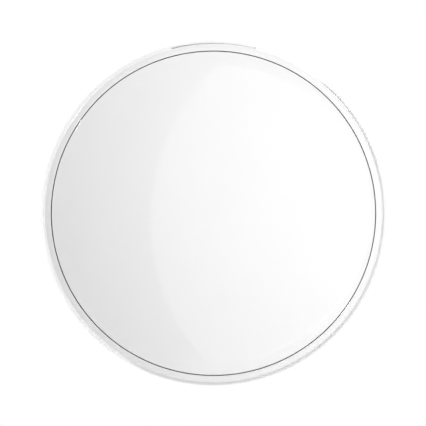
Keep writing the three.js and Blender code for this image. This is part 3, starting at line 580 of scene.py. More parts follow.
def extend(piece, end, step, scale):
    """Extrudes a piece's end by a step, and scales the new face."""
    axis, sign = ENDS[end]
    move = [0, 0, 0]
    move[axis] = sign * step
    select(piece, "FACE", at_end(piece, end))
    bpy.ops.mesh.extrude_region_move(TRANSFORM_OT_translate={"value": at(*move)})
    bpy.ops.transform.resize(value=scale)
    bpy.ops.object.mode_set(mode="OBJECT")


def slab(name, width, height, x, up, back, front, corner=0, steps=6):
    """An upright block centred on a point, with its upright corners rounded."""
    piece = block(name, (x - width / 2, up - height / 2, back), (x + width / 2, up + height / 2, front))
    if corner:
        round_edges(piece, corner, runs_along("y"), steps)
    return piece


def rod(name, radius, back, front, x=0, up=0, sides=32, tip=None):
    """A cylinder, or a cone where tip gives its front radius, standing out from the wall."""
    start_fresh()
    bpy.ops.mesh.primitive_cone_add(
        vertices=sides, radius1=radius * MM, radius2=(radius if tip is None else tip) * MM,
        depth=(front - back) * MM, location=at(x, up, (back + front) / 2),
        rotation=(math.radians(90), 0, 0))
    return named(name)


pocket = slab("pocket", 2 * (POCKET_X + POCKET_WALL), 2 * (POCKET_UP + POCKET_WALL), 0, 0,
              BULKHEAD_BACK + 0.4, POCKET_FRONT, 1.2, 4)
round_edges(pocket, 0.4, at_end(pocket, "front"), 3)
fuse(case, pocket)
cut(case, slab("hollow", 2 * POCKET_X, 2 * POCKET_UP, 0, 0, BULKHEAD_BACK - 0.6, POCKET_FLOOR, 0.4, 3))

# Keys that stop the head from turning on its wall plate, a stiffening rib round the back, and a
# rim round each screw hole.
key = slab("key", 1.5, 3, 39.55, 0, 2.3, BULKHEAD_BACK + 0.5, 0.3, 2)
fuse(case, round_axis(key, 0, 180))
fuse(case, washer("rib", 34.9, 35.7, 11, BULKHEAD_BACK + 0.4, 0.2))
rim = rod("rim", 2.7, 11.1, BULKHEAD_BACK + 0.4, SCREW_R)
cut(rim, rod("rim bore", 2.2, 10, 13, SCREW_R))
fuse(case, round_axis(rim, *CASE_SCREWS))
cut(case, round_axis(rod("hole", 1.15, 10, 15, SCREW_R), *CASE_SCREWS))

# Vents, each a slit whose mouth is flared by a quarter of a millimetre all round.
slit = block("vent", (38, -VENT_HALF, VENT_BACK), (CASE_R - 0.15, VENT_HALF, CASE_FRONT - SHOULDER))
round_edges(slit, 0.4, runs_along("x"), 3)
vent_height = CASE_FRONT - SHOULDER - VENT_BACK
extend(slit, "right", VENT_FLARE, (
    1, 1 + 2 * VENT_FLARE / vent_height, 1 + VENT_FLARE / VENT_HALF))
upper = [90 + side * (20.5 + i * VENT_STEP) for side in (-1, 1) for i in range(4)]
lower = [270 + (i - 5) * VENT_STEP for i in range(11)]
cut(case, round_axis(slit, *upper, *lower))


def arc(name, inner, outer, half_width, back, front):
    """A band round the axis, spun from its left end at twelve o'clock to its right end."""
    half_angle = math.asin(half_width / outer)
    start_fresh()
    middle = at(0, (inner + outer) / 2, (back + front) / 2)
    bpy.ops.mesh.primitive_plane_add(size=1, location=middle, rotation=(0, math.radians(90), 0))
    bpy.ops.transform.resize(value=(1, (front - back) * MM, (outer - inner) * MM))
    piece = named(name)
    bpy.ops.object.mode_set(mode="EDIT")
    bpy.ops.mesh.select_all(action="SELECT")
    bpy.ops.transform.rotate(value=half_angle, orient_axis="Y", center_override=(0, 0, 0))
    bpy.ops.mesh.spin(steps=24, angle=-2 * half_angle, center=(0, 0, 0), axis=(0, 1, 0))
    close_up()
    return piece


# The press bar's notch at twelve o'clock, the slot for its flange, and the way through for the
# pins that join the two halves.
notch = block("notch", (-BAR_HALF - 0.15, 37.5, VENT_BACK - 0.3), (BAR_HALF + 0.15, 43, 17))
round_edges(notch, 0.4, lambda edge: runs_along("z")(edge) and places(edge)[2] < VENT_BACK, 3)
cut(case, notch)
cut(case, arc("flange slot", 37.5, SKIRT_BORE, FLANGE_HALF + 0.8, 10.8, 14.2))
cut(case, slab("socket slot", 14.6, 3.6, 0, HEADER_UP, 10, 15, 0.5, 3))

# White PC/ABS from a spark-eroded mould: even and nearly matt, its grain of a tenth of a
# millimetre just felt with a nail.
satin_abs = moulded("eroded_mould_white_pc_abs", "#F3F3F3", "#F0F0F0", 0.38, 0.12, 0.0006)
finish(case, satin_abs, "satin_white", "head", "rear_case")

# ---------------- press bar
# The bar at twelve o'clock, pressed to wake the display: a flush cap on a flange that keeps it
# in the case, with a stem down to its switch. Moulded in one piece in the case's plastic.

BAR_R = 41.9
BAR_FRONT = 15.8
GROOVE_R = 41.5
GROOVE_DEPTH = 0.4
GROOVE_TURN = -1  # degrees, so that it runs out towards its right end

cap = arc("press_bar_cap", BAR_R - 3, BAR_R, 11, VENT_BACK, BAR_FRONT)
combine(cap, block("ends", (-BAR_HALF, 36, 8), (BAR_HALF, 43, 17)), "INTERSECT")
round_edges(cap, 0.15, lambda edge: places(edge)[1] > 39.5, 3)
groove = arc("nail groove", GROOVE_R - 0.6, GROOVE_R, 11, BAR_FRONT - GROOVE_DEPTH, BAR_FRONT + 1)
groove.data.transform(Matrix.Rotation(math.radians(GROOVE_TURN), 4, "Z"))
cut(cap, groove)
fuse(cap, arc("flange", FLANGE_R - 1.1, FLANGE_R, FLANGE_HALF, VENT_BACK, BULKHEAD_FRONT - 0.3))
stem = block("stem", (-1.5, 35.45, 14.5), (1.5, 39.5, 15.7))
round_edges(stem, 0.2, runs_along("z"), 2)
fuse(cap, stem)
finish(cap, satin_abs, "satin_white", "press_bar", "top_button")

# ---------------- wall plate
# The plate that is screwed to the wall: a shallow dish with an opening for the wires, two screw
# slots, four spring tongues that hold the head, and cradles for a level. Moulded in matt ABS.

PLATE_R = 39.4
PLATE_BORE = 37.6
PLATE_FLOOR = 1.8
PLATE_DEPTH = 8
LEVEL_UP = 28.6
LEVEL_OUT = 5.2
OPENING_UP = 11
SLOT_X = 30
STAKES = [(x, up) for x in (-12.6, 12.6) for up in (-20.1, 15.4)]

plate = turn("wall_plate_abs", [
    (0, 0),
    (PLATE_R - 0.4, 0),
    (PLATE_R, 0.4),
    *rounded(PLATE_R - 0.3, PLATE_DEPTH - 0.3, 0.3, 0, 90),
    *rounded(PLATE_BORE + 0.3, PLATE_DEPTH - 0.3, 0.3, 90, 180),
    *rounded(PLATE_BORE - 0.6, PLATE_FLOOR + 0.6, 0.6, 0, -90),
    (0, PLATE_FLOOR),
])


def laid_along_x(piece, up, out):
    """Turns a piece made about the thermostat's axis so that its front end points right, and places it."""
    piece.data.transform(Matrix.Translation(at(0, up, out)) @ Matrix.Rotation(math.radians(90), 4, "Z"))
    return piece


fuse(plate, slab("collar", 15, 16, 0, OPENING_UP, PLATE_FLOOR - 0.5, 3.4, 3))
fuse(plate, washer("ring rib", 31.4, 32.4, 1.2, 3.2, 0.1))
for side in (-1, 1):
    fuse(plate, slab("seat", 9, 14, side * SLOT_X, 0, PLATE_FLOOR - 0.5, 2.6, 4.45))
    fuse(plate, slab("cradle", 2, 8.8, side * 6, LEVEL_UP, PLATE_FLOOR - 0.5, 6.1, 0.4, 2))
fuse(plate, round_axis(block("rib", (29.75, -0.6, 1.2), (38.1, 0.6, 3.8)), 60, 120, 240, 300))
for x, up in STAKES:
    stake = rod("stake", 1, 1.5, 4.1, x, up)
    fuse(stake, rod("melted head", 1.8, 3.9, 4.6, x, up, tip=1.2))
    fuse(plate, rod("boss", 2.2, 1.2, 2.6, x, up), stake)
start_fresh()
bpy.ops.mesh.primitive_cylinder_add(vertices=24, radius=MM, depth=4.5 * MM, location=at(38.85, 0, 5.9))
fuse(plate, round_axis(named("tongue bump"), *CASE_SCREWS))
tongue_sides = [angle + side for angle in CASE_SCREWS for side in (-7, 7)]
cut(plate, round_axis(block("slit", (36.6, -0.45, 2.4), (40.5, 0.45, 10)), *tongue_sides))

# An arrow head above the level shows which way up the plate goes.
fuse(plate, rod("arrow", 1.6, 1.3, 2.3, 0, 34.8, 3))

# Cut last: the wires' opening, the screw slots, the level's bed and the keyways, then the shallow
# hollow in the back, which spokes and pads leave in fields.
cut(plate, slab("opening", 13, 14, 0, OPENING_UP, -1, 5, 2))
for side in (-1, 1):
    cut(plate, slab("slot", 4, 9, side * SLOT_X, 0, -1, 4, 1.98, 8))
    cut(plate, slab("keyway", 6, 3.6, side * 39, 0, 2, 10))
cut(plate, laid_along_x(rod("level bed", 3.3, -18, 18, sides=48), LEVEL_UP, LEVEL_OUT))
hollow = washer("hollow", 11, 36.1, -1, 0.6, 0.2, steps=96)
for angle in (45, 90, 135):
    cut(hollow, round_axis(block("spoke", (-40, -0.8, -2), (40, 0.8, 2)), angle))
for side in (-1, 1):
    cut(hollow, rod("pad", 7.2, -2, 2, side * SLOT_X, 0, 48))
cut(hollow, slab("collar back", 17, 18, 0, OPENING_UP, -2, 2, 4))
cut(plate, hollow)

# Matt white ABS with a coarser eroded skin, as on parts that nobody touches; a shade greyer
# than the case, with slight flow marks.
matt_abs = moulded("eroded_mould_white_abs", "#ECECEB", "#E4E4E2", 0.6, 0.25, 0.008)
finish(plate, matt_abs, "matt_white", "wall_base", "wall_plate")

# ---------------- base board
# The wiring board on the wall plate: glass-fibre board with copper tracks under green solder
# mask, routed to shape, drilled, and held by the plate's four melted stakes.

board = slab("base_board_fr4", 38, 40.3, 0, -2.35, 2.65, 3.85, 1.5)
wires_notch = block("wires notch", (-7.8, 2.7, 0), (7.8, 20, 6))
round_edges(wires_notch, 1, lambda edge: runs_along("y")(edge) and places(edge)[1] < 3)
cut(board, wires_notch)
for x, up in STAKES:
    cut(board, rod("stake hole", 1.2, 2, 5, x, up))
for x in (-16.758, 16.758):
    cut(board, rod("tooling hole", 0.8, 2, 5, x, STAKES[0][1]))
soften(board, 0.06, 1)

# Mask over poured copper, parted by fine gaps into tracks, with tinned vias; sawn edges are bare
# fibre, which catches the eye as a dull yellow line.
green_board, tree = surface("green_solder_masked_board")
place = add(tree, "TexCoord").outputs["Object"]
flat = add(tree, "Mapping", {"Vector": place, "Rotation": (math.radians(90), 0, 0)})
gaps = add(tree, "TexBrick", {
    "Vector": flat,
    "Scale": 1 / MM,
    "Mortar Size": 0.12,
    "Mortar Smooth": 0.1,
    "Brick Width": 6.1,
    "Row Height": 0.85,
}, offset=0.37).outputs["Fac"]
areas = noise(tree, 6, 0)
copper = maths(tree, "SUBTRACT", 1, maths(tree, "MULTIPLY", gaps, spread(tree, areas, 0, 1, 0.49, 0.5)))
off_via = add(tree, "TexVoronoi", {"Vector": flat, "Scale": 1 / (5 * MM)}, voronoi_dimensions="2D")
via = maths(tree, "LESS_THAN", off_via, 0.056)
dotted = mix(tree, via, mix(tree, copper, "#12442D", "#1C643F"), "#C9C6BA")
out = add(tree, "SeparateXYZ", {0: add(tree, "NewGeometry").outputs["Normal"]}).outputs["Y"]
faced = maths(tree, "GREATER_THAN", maths(tree, "ABSOLUTE", out), 0.7)
coat(green_board, {
    "Base Color": mix(tree, faced, "#A9A66A", dotted),
    "Roughness": spread(tree, areas, 0.28, 0.42),
    "IOR": 1.55,
    "Normal": relief(tree, copper, 0.8, 0.035),
})
finish(board, green_board, "board_green", "wall_base", "base_board")

# ---------------- terminal blocks
# Two push-in terminal blocks for three wires each. Moulded in grey nylon, with a funnelled wire
# entry, a probe hole and a key well for each pole, and soldered to the board.

TERMINAL_IN = 8.4
WELL_X = 14.5
WIRE_OUT = 6.4
POLES_UP = (-2, 4, 10)


def mirrored(piece, name):
    """A copy on the other side of the thermostat's middle."""
    twin = copied(piece, Matrix.Scale(-1, 4, (1, 0, 0)), name)
    twin.data.flip_normals()
    return twin


housing = block("terminal_block_right_nylon", (TERMINAL_IN, -5.3, 3.9), (18.4, 13.3, 10.5))
inner_end = at_end(housing, "front")
round_edges(housing, 1.2, lambda edge: inner_end(edge) and places(edge)[0] < 9, 5)
round_edges(housing, 0.3, lambda edge: places(edge)[2] > 4 and edge.calc_face_angle() > 1, 3)
for up in POLES_UP:
    cut(housing, slab("well", 4.2, 4.2, WELL_X, up, 4.6, 12, 0.25, 2))
    cut(housing, laid_along_x(rod("funnel", 2.1, TERMINAL_IN - 0.2, TERMINAL_IN + 1, tip=1.3), up, WIRE_OUT))
    cut(housing, laid_along_x(rod("wire entry", 1.3, TERMINAL_IN + 0.5, 13), up, WIRE_OUT))
    cut(housing, rod("probe hole", 0.6, 7.5, 12, 10.9, up, 20))
for up in (1, 7):
    cut(housing, block("pole groove", (8, up - 0.2, 10.1), (19, up + 0.2, 11)))
    cut(housing, block("side groove", (18.1, up - 0.2, 4.8), (19, up + 0.2, 11)))

# Grey glass-filled nylon: dull, slightly mottled where the fibres lie near the skin.
grey_nylon = moulded("moulded_grey_glass_filled_nylon", "#959A9E", "#868B90", 0.55, 0.2, 0.006)
finish(housing, grey_nylon, "grey_nylon", "wall_base", "terminal_block_right")
left_housing = mirrored(housing, "terminal_block_left_nylon")
finish(left_housing, grey_nylon, "grey_nylon", "wall_base", "terminal_block_left")

# ---------------- terminal keys
# Six amber nylon keys, one in each well, with a slot for a screwdriver. Pushing one in opens
# the clamp below it.


def shifted(x, up=0):
    return Matrix.Translation(at(x, up, 0))


def six_of(first, stem):
    """The right-hand block's first piece, copied to the other five poles; numbered from the left block's."""
    others = [copied(first, shifted(0, POLES_UP[i] - POLES_UP[0]), stem.format(i + 4)) for i in (1, 2)]
    right = [first, *others]
    return [mirrored(piece, stem.format(i + 1)) for i, piece in enumerate(right)] + right


key = slab("terminal_key_4_nylon", 3.8, 3.8, WELL_X, POLES_UP[0], 8.4, 11.3, 0.3, 3)
round_edges(key, 0.3, at_end(key, "front"), 3)
cut(key, slab("screwdriver slot", 0.8, 2.6, WELL_X, POLES_UP[0], 10.8, 12, 0.15, 2))

# Amber nylon: warm and half glossy, so that the keys stand out of the grey at a glance.
amber_nylon = moulded("moulded_amber_nylon", "#E08A30", "#D47C22", 0.42, 0.2, 0.004)
for number, key in enumerate(six_of(key, "terminal_key_{}_nylon"), 1):
    finish(key, amber_nylon, "amber_key", f"terminal_key_{number}", f"terminal_button_{number}")

# ---------------- terminal clamps
# Six clamps, each one strip of spring steel: along the well's floor, up its outer side and back
# over as a jaw that bites the wire. Blanked, bent and hardened.

CLAMP_HALF = 1.7
STEEL = 0.4

strip = [
    (12.6, 4.87),
    *rounded(15.75, 5.31, 0.44, -90, 0),
    *rounded(15.79, 6.15, 0.4, 0, 105, 5),
    (13.6, 5.98),
    (13.25, 6.0),
]
edge_x, edge_out = strip[0]
clamp = trace("terminal_clamp_4_steel", [
    (edge_x, POLES_UP[0] - CLAMP_HALF, edge_out), (edge_x, POLES_UP[0] + CLAMP_HALF, edge_out),
])
bpy.ops.mesh.select_all(action="SELECT")
draw_out([(x, 0, out) for x, out in strip])
bpy.ops.object.mode_set(mode="OBJECT")
modify(clamp, "SOLIDIFY", thickness=STEEL * MM, offset=0, use_even_offset=True)
bpy.ops.object.mode_set(mode="EDIT")
close_up()
soften(clamp, 0.05, 1, 60)


def metal(name, light, dark, rough, marks, stretch=(1, 1, 1)):
    """Bare or plated metal: its shade and gloss vary with marks of the given size in millimetres."""
    made, tree = surface(name)
    place = add(tree, "TexCoord").outputs["Object"]
    fine = noise(tree, marks, 4, add(tree, "Mapping", {"Vector": place, "Scale": stretch}))
    broad = noise(tree, 5, 2)
    uneven = maths(tree, "ADD", fine, broad)
    return coat(made, {
        "Base Color": mix(tree, broad, light, dark),
        "Metallic": 1,
        "Roughness": spread(tree, uneven, rough * 0.7, rough * 1.3, end=2),
        "Normal": relief(tree, fine, 0.3, 0.005),
    })


# Tinned spring steel: grey, with fine rolling marks along the strip.
spring_steel = metal("rolled_tinned_spring_steel", "#B9BCC0", "#A5A8AC", 0.3, 0.15, (0.2, 1, 1))
for number, clamp in enumerate(six_of(clamp, "terminal_clamp_{}_steel"), 1):
    finish(clamp, spring_steel, "spring_steel", "wall_base", f"terminal_clamp_{number}")

# ---------------- base socket
# The socket in which the head's six pins plug: black moulded body soldered to the board, with
# funnelled holes and a groove that keys it.

FIRST_PIN_X = -5
PIN_STEP = 2
PINS = 6


def row_of(piece):
    """A piece made at the first pin, with a copy at each of the others, as one."""
    return joined([piece, *(copied(piece, shifted(i * PIN_STEP)) for i in range(1, PINS))])


socket = slab("base_socket_pbt", 14.8, 4.4, 0, HEADER_UP, 3.9, 9.5, 0.3, 2)
round_edges(socket, 0.25, at_end(socket, "front"), 2)
hole = slab("pin hole", 1.1, 1.1, FIRST_PIN_X, HEADER_UP, 5.1, 9.2)
extend(hole, "front", 0.6, (1.8, 1, 1.8))
cut(socket, row_of(hole))
for x in (-4, 4):
    cut(socket, block("key groove", (x - 0.6, HEADER_UP - 2.6, 5.5), (x + 0.6, HEADER_UP - 1.85, 10)))

# Black polyester: dark, with a soft sheen that shows its rounded edges.
black_pbt = moulded("moulded_black_polyester", "#232325", "#1B1B1D", 0.45, 0.2, 0.005)
finish(socket, black_pbt, "black_plastic", "wall_base", "base_socket")

# ---------------- relays
# Two sealed relays that switch the boiler and the fan: black moulded covers, glued to their
# bases along a seam, with a shallow panel on top and a vent nib.

RELAY = (14.15, -12.25)


def seam(piece, width, height, place, back, front, inset, corner):
    """Cuts a groove round a box, as deep as the inset."""
    groove = slab("seam", width + 1, height + 1, *place, back, front)
    width, height = width - 2 * inset, height - 2 * inset
    cut(groove, slab("inside seam", width, height, *place, back - 0.8, front + 1, corner, 4))
    cut(piece, groove)


relay = slab("relay_right_cover", 8.5, 11.5, *RELAY, 3.9, 9.3, 0.6, 4)
round_edges(relay, 0.35, at_end(relay, "front"), 3)
cut(relay, slab("panel", 6.9, 9.9, *RELAY, 9.15, 10, 0.5, 3))
seam(relay, 8.5, 11.5, RELAY, 4.8, 5, 0.15, 0.5)
fuse(relay, rod("vent nib", 0.55, 8.9, 9.28, 16.3, -8.6, 20, tip=0.4))
finish(relay, black_pbt, "black_plastic", "wall_base", "relay_right")
finish(mirrored(relay, "relay_left_cover"), black_pbt, "black_plastic", "wall_base", "relay_left")

# ---------------- spirit level
# The level used when the plate is put up: a clear acrylic vial with a bonded plug and two black
# lines, filled with dyed spirit that leaves a bubble. It lies in the plate's cradles.

VIAL_R = 3.2
VIAL_BORE = 2.6
VIAL_HALF = 9
LIQUID_R = 2.57
LIQUID_HALF = 7.95
ROUND_STEPS = 64


def level_part(name, profile):
    return laid_along_x(turn(name, profile, ROUND_STEPS), LEVEL_UP, LEVEL_OUT)


vial = level_part("level_vial_acrylic", [
    (0, -VIAL_HALF),
    *rounded(VIAL_R - 0.4, 0.4 - VIAL_HALF, 0.4, -90, 0),
    *rounded(VIAL_R - 0.15, VIAL_HALF - 0.15, 0.15, 0, 90, 2),
    (VIAL_BORE + 0.1, VIAL_HALF),
    (VIAL_BORE, VIAL_HALF - 0.1),
    *rounded(VIAL_BORE - 0.3, 1.3 - VIAL_HALF, 0.3, 0, -90),
    (0, 1 - VIAL_HALF),
])
plug = level_part("level_plug_acrylic", [
    (0, 8), (2.5, 8), (2.55, 8.05), (2.55, 8.9), (2.45, 9), (1.2, 9), (1.1, 8.8), (0, 8.8),
])
liquid = level_part("level_spirit", [
    (0, -LIQUID_HALF),
    *rounded(LIQUID_R - 0.25, 0.25 - LIQUID_HALF, 0.25, -90, 0),
    (LIQUID_R, LIQUID_HALF - 0.05),
    (LIQUID_R - 0.05, LIQUID_HALF),
    (0, LIQUID_HALF),
])
start_fresh()
bpy.ops.mesh.primitive_uv_sphere_add(segments=32, ring_count=16, radius=MM, scale=(2.1, 1.3, 1),
                                     location=at(0, LEVEL_UP + LIQUID_R, LEVEL_OUT))
cut(liquid, named("bubble"))


def clear(name, light, dark, ior, size):
    """Clear moulded acrylic or liquid: it bends light, and its skin wavers a little."""
    made, tree = surface(name)
    waver = noise(tree, size, 1)
    return coat(made, {
        "Base Color": mix(tree, waver, light, dark),
        "Roughness": spread(tree, waver, 0.01, 0.05),
        "IOR": ior,
        "Transmission Weight": 1,
        "Normal": relief(tree, waver, 0.2, 0.02),
    })


clear_acrylic = clear("moulded_clear_acrylic", "#F4FAF6", "#EAF4EE", 1.49, 3)
dyed_spirit = clear("green_dyed_spirit", "#B4E02A", "#9CD218", 1.36, 6)
finish(vial, clear_acrylic, "clear_acrylic", "wall_base", "level_vial")
finish(plug, clear_acrylic, "clear_acrylic", "wall_base", "level_plug")
finish(liquid, dyed_spirit, "level_green", "wall_base", "level_liquid")

lines = [
    level_part("level_lines_ink", [
        (VIAL_R, x - 0.2), (VIAL_R + 0.02, x - 0.18), (VIAL_R + 0.02, x + 0.18), (VIAL_R, x + 0.2),
        (VIAL_R, x - 0.2),
    ])
    for x in (-2.7, 2.7)
]

# Printed ink: a flat black film, crisp against the clear vial.
black_ink = moulded("printed_black_ink", "#1A1A1A", "#242424", 0.5, 0.1, 0.002)
finish(joined(lines), black_ink, "black_plastic", "wall_base")

# ---------------- chassis
# The frame that carries everything in the head: a ring with a shoulder that traps the dial ring,
# a ledge under the face, and eight screw columns on webs. Moulded in white ABS.

CHASSIS_R = 39.2
NECK_R = 37.75
CHASSIS_BORE = 36.25
LEDGE_BORE = 35.05
CHASSIS_BACK = 13.25
CHASSIS_SHOULDER = 18
LEDGE_BACK = 26.85
LEDGE_FRONT = 27.75
BOARD_SCREWS = (70, 110, 250, 290)
CASE_COLUMN_FRONT = 20.25
BOARD_SEAT = 24.45
COLUMN_R = 2.6
FOOT = 0.6
READER_ANGLE = 213

chassis = turn("chassis_abs", [
    (CHASSIS_BORE, CHASSIS_BACK + 0.2),
    (CHASSIS_BORE + 0.2, CHASSIS_BACK),
    (NECK_R - 0.3, CHASSIS_BACK),
    (NECK_R, CHASSIS_BACK + 0.3),
    (NECK_R, CHASSIS_SHOULDER),
    *rounded(CHASSIS_R - 0.3, CHASSIS_SHOULDER + 0.3, 0.3, -90, 0, 3),
    *rounded(CHASSIS_R - 0.2, LEDGE_FRONT - 0.2, 0.2, 0, 90, 3),
    *rounded(LEDGE_BORE + 0.15, LEDGE_FRONT - 0.15, 0.15, 90, 180, 2),
    (LEDGE_BORE, LEDGE_BACK),
    (CHASSIS_BORE - 0.3, LEDGE_BACK),
    (CHASSIS_BORE, LEDGE_BACK - 0.3),
    (CHASSIS_BORE, CHASSIS_BACK + 0.2),
])
for angles, front in ((CASE_SCREWS, CASE_COLUMN_FRONT), (BOARD_SCREWS, BOARD_SEAT)):
    for angle in angles:
        column = rod("column", COLUMN_R, CHASSIS_BACK, front, SCREW_R)
        fuse(column, rod("foot", COLUMN_R + 0.3, CHASSIS_BACK, CHASSIS_BACK + FOOT, SCREW_R, tip=COLUMN_R))
        web_back, web_front = CHASSIS_BACK + 0.01, front - 0.3
        fuse(column, block("web", (SCREW_R, -1.2, web_back), (CHASSIS_BORE + 0.5, 1.2, web_front)))
        fuse(chassis, round_axis(column, angle))
cut(chassis, round_axis(rod("hole", 1.15, 12, CASE_COLUMN_FRONT - 0.8, SCREW_R), *CASE_SCREWS))
cut(chassis, round_axis(rod("hole", 1.15, BOARD_SEAT - 6, 26, SCREW_R), *BOARD_SCREWS))
for name, half, back, front, angle in (
    ("stem window", 2.1, 12, 16.3, 90),
    ("sensor window", 4.3, 12, 16.05, 270),
    ("dial window", 2.8, 14.1, 17.7, READER_ANGLE),
):
    cut(chassis, round_axis(block(name, (CHASSIS_BORE - 1, -half, back), (NECK_R + 1, half, front)), angle))
finish(chassis, matt_abs, "matt_white", "head", "chassis")

# ---------------- light guide
# A disc of milky polycarbonate between the display and the face, which spreads the light of the
# digits. Moulded, with four small lugs' marks round its rim.

DISC_STEPS = 128


def disc(name, radius, back, front, edge):
    return turn(name, [
        (0, back), (radius - edge, back), (radius, back + edge),
        (radius, front - edge), (radius - edge, front), (0, front),
    ], DISC_STEPS)


guide = disc("light_guide_polycarbonate", 30.05, 26.75, 27.95, 0.2)
cut(guide, round_axis(block("lug mark", (29.2, -1.5, 26), (31, 1.5, 27.1)), 0, 90, 180, 270))

# Opal polycarbonate: milky right through, so its edge glows softly and its skin is dull.
opal, tree = surface("moulded_opal_polycarbonate")
cloud = noise(tree, 9, 2)
coat(opal, {
    "Base Color": mix(tree, cloud, "#F3F4F4", "#E9EBEC"),
    "Roughness": spread(tree, cloud, 0.4, 0.55),
    "IOR": 1.58,
    "Transmission Weight": 0.2,
})
finish(guide, opal, "diffuser", "head", "light_guide")

# ---------------- display and presence sensor
# The display: a black panel with a matrix of white light-emitting dots under a clear coat. Below
# it, the sensor that wakes it when someone comes near. Both are soldered to the main board.

DISPLAY_BACK = 25.75
DISPLAY_FRONT = 26.55
DOT_STEP = 1.6
PRESENCE_UP = -20

display = slab("display_panel", 40, 24, 0, 0, DISPLAY_BACK, DISPLAY_FRONT, 0.4, 3)
cut(display, slab("dots' panel", 38.4, 22.4, 0, 0, DISPLAY_FRONT - 0.15, 27, 0.3, 3))
soften(display, 0.05)

# Coated dot matrix: glossy black with dots of pale phosphor, 0.8 mm across and 1.6 mm apart.
matrix, tree = surface("coated_dot_matrix")
spot = add(tree, "TexCoord").outputs["Object"]
for operation, by in (
    ("DIVIDE", [DOT_STEP * MM] * 3),
    ("ADD", [1000.5] * 3),
    ("FRACTION", [0] * 3),
    ("SUBTRACT", [0.5] * 3),
    ("MULTIPLY", (1, 0, 1)),
):
    spot = add(tree, "VectorMath", {0: spot, 1: by}, operation=operation)
away = add(tree, "VectorMath", {0: spot}, operation="LENGTH").outputs["Value"]
dot = spread(tree, away, 0, 1, 0.27, 0.23)
coat(matrix, {
    "Base Color": mix(tree, dot, "#121214", "#CFCBA8"),
    "Roughness": spread(tree, dot, 0.18, 0.35),
    "IOR": 1.5,
})
finish(display, matrix, "black_plastic", "head", "display_module")

presence = slab("presence_sensor_package", 4, 3, 0, PRESENCE_UP, DISPLAY_BACK, DISPLAY_FRONT, 0.2, 2)
for x in (-1.1, 1.1):
    cut(presence, rod("eye", 0.55, DISPLAY_FRONT - 0.3, 27, x, PRESENCE_UP, 24, tip=0.75))
soften(presence, 0.06, 1)

# Black epoxy moulding compound: fine matt grain of fused silica, a little lighter in places.
black_epoxy = moulded("moulded_black_epoxy", "#2A2A2C", "#1F1F21", 0.6, 0.08, 0.006)
finish(presence, black_epoxy, "black_plastic", "head", "presence_sensor")

# ---------------- main board
# The round board that carries the electronics: glass-fibre board under green solder mask, with a
# bare copper ring round each screw hole, screwed to four of the chassis's columns.

MAIN_BACK = 24.5
MAIN_FRONT = 25.7

main = disc("main_board_fr4", 34.75, MAIN_BACK, MAIN_FRONT, 0.06)
cut(main, round_axis(rod("screw hole", 1.15, 24, 27, SCREW_R), *BOARD_SCREWS))
finish(main, green_board, "board_green", "head", "main_board")

lands = []
for back in (MAIN_FRONT - 0.01, MAIN_BACK - 0.03):
    land = rod("screw_lands_copper", 2.4, back, back + 0.04, SCREW_R)
    cut(land, rod("screw hole", 1.2, 24, 27, SCREW_R))
    lands.append(round_axis(land, *BOARD_SCREWS))

# Tinned copper: soft, silvery and slightly wiped, as solder leaves it.
tinned_copper = metal("tinned_copper_land", "#D8D6CE", "#C6C3B8", 0.28, 0.3)
finish(joined(lands), tinned_copper, "nickel", "head")

# ---------------- chips under the main board
# Soldered to the back of the main board beside the cells: the processor, a flat square package,
# and the radio module, under a drawn can of tinned steel with vent holes.

PROCESSOR = (9, 16.8)
RADIO = (-9.3, 17.05)
MARKS_UP = 19.2

processor = slab("processor_package", 7, 7, *PROCESSOR, 23.45, BOARD_SEAT, 0.15, 1)
round_edges(processor, 0.12, at_end(processor, "back"), 1)
cut(processor, rod("first pin's dimple", 0.45, 23, 23.5, 6.6, MARKS_UP, 20))
finish(processor, black_epoxy, "black_plastic", "head", "processor")

radio_can = slab("radio_module_can", 11, 7.5, *RADIO, 22.25, BOARD_SEAT, 0.8, 4)
round_edges(radio_can, 0.35, at_end(radio_can, "back"))
for x in (-12.3, -11.1, -7.5, -6.3):
    cut(radio_can, rod("vent", 0.35, 22, 22.7, x, MARKS_UP, 16))
seam(radio_can, 11, 7.5, RADIO, 24, 24.15, 0.1, 0.7)

# Tin plate: bright and smooth, with the long soft reflections of drawn sheet.
tin_plate = metal("drawn_tin_plate", "#C9CCCF", "#B7BABE", 0.25, 0.4)
finish(radio_can, tin_plate, "spring_steel", "head", "radio_module")

# ---------------- buzzer
# The sounder that clicks as the dial turns: a round black moulding with a stepped lid and one
# sound hole, soldered under the main board.

BUZZER = (11.2, -16.8)
BUZZER_SIDES = 48

buzzer = rod("buzzer_case", 3.5, 21.25, BOARD_SEAT, *BUZZER, BUZZER_SIDES)
round_edges(buzzer, 0.3, at_end(buzzer, "back"), 3)
cut(buzzer, rod("sound hole", 0.8, 20, 22.6, *BUZZER, 24))
lid_seam = rod("lid seam", 4.5, 22.1, 22.25, *BUZZER, BUZZER_SIDES)
cut(lid_seam, rod("inside seam", 3.35, 21, 23, *BUZZER, BUZZER_SIDES))
cut(buzzer, lid_seam)
finish(buzzer, black_pbt, "black_plastic", "head", "buzzer")

# ---------------- dial sensor
# It reads the notches on the dial ring's lip: a black epoxy package in the chassis's neck, with a
# sender's and a receiver's lens side by side behind its window.

reader = slab("dial_sensor_package", 3.1, 5, 36.2, 0, 14.4, 17.4)
for up in (-1.2, 1.2):
    cut(reader, laid_along_x(rod("lens", 0.8, 37.2, 38.5, sides=24, tip=0.95), up, 15.9))
soften(reader, 0.12)
finish(round_axis(reader, READER_ANGLE), black_epoxy, "black_plastic", "head", "dial_sensor")

# ---------------- press bar's switch
# A tiny tactile switch on its own little board behind the press bar: a moulded body under a
# folded steel cover, and a plunger that the bar's stem pushes.

SMALL_BOARD = (13.25, 14.05)  # back and front

button_board = slab("button_board_fr4", 12, 6.9, 0, 31.9, *SMALL_BOARD, 0.6, 3)
soften(button_board, 0.05, 1)
finish(button_board, green_board, "board_green", "head", "button_board")

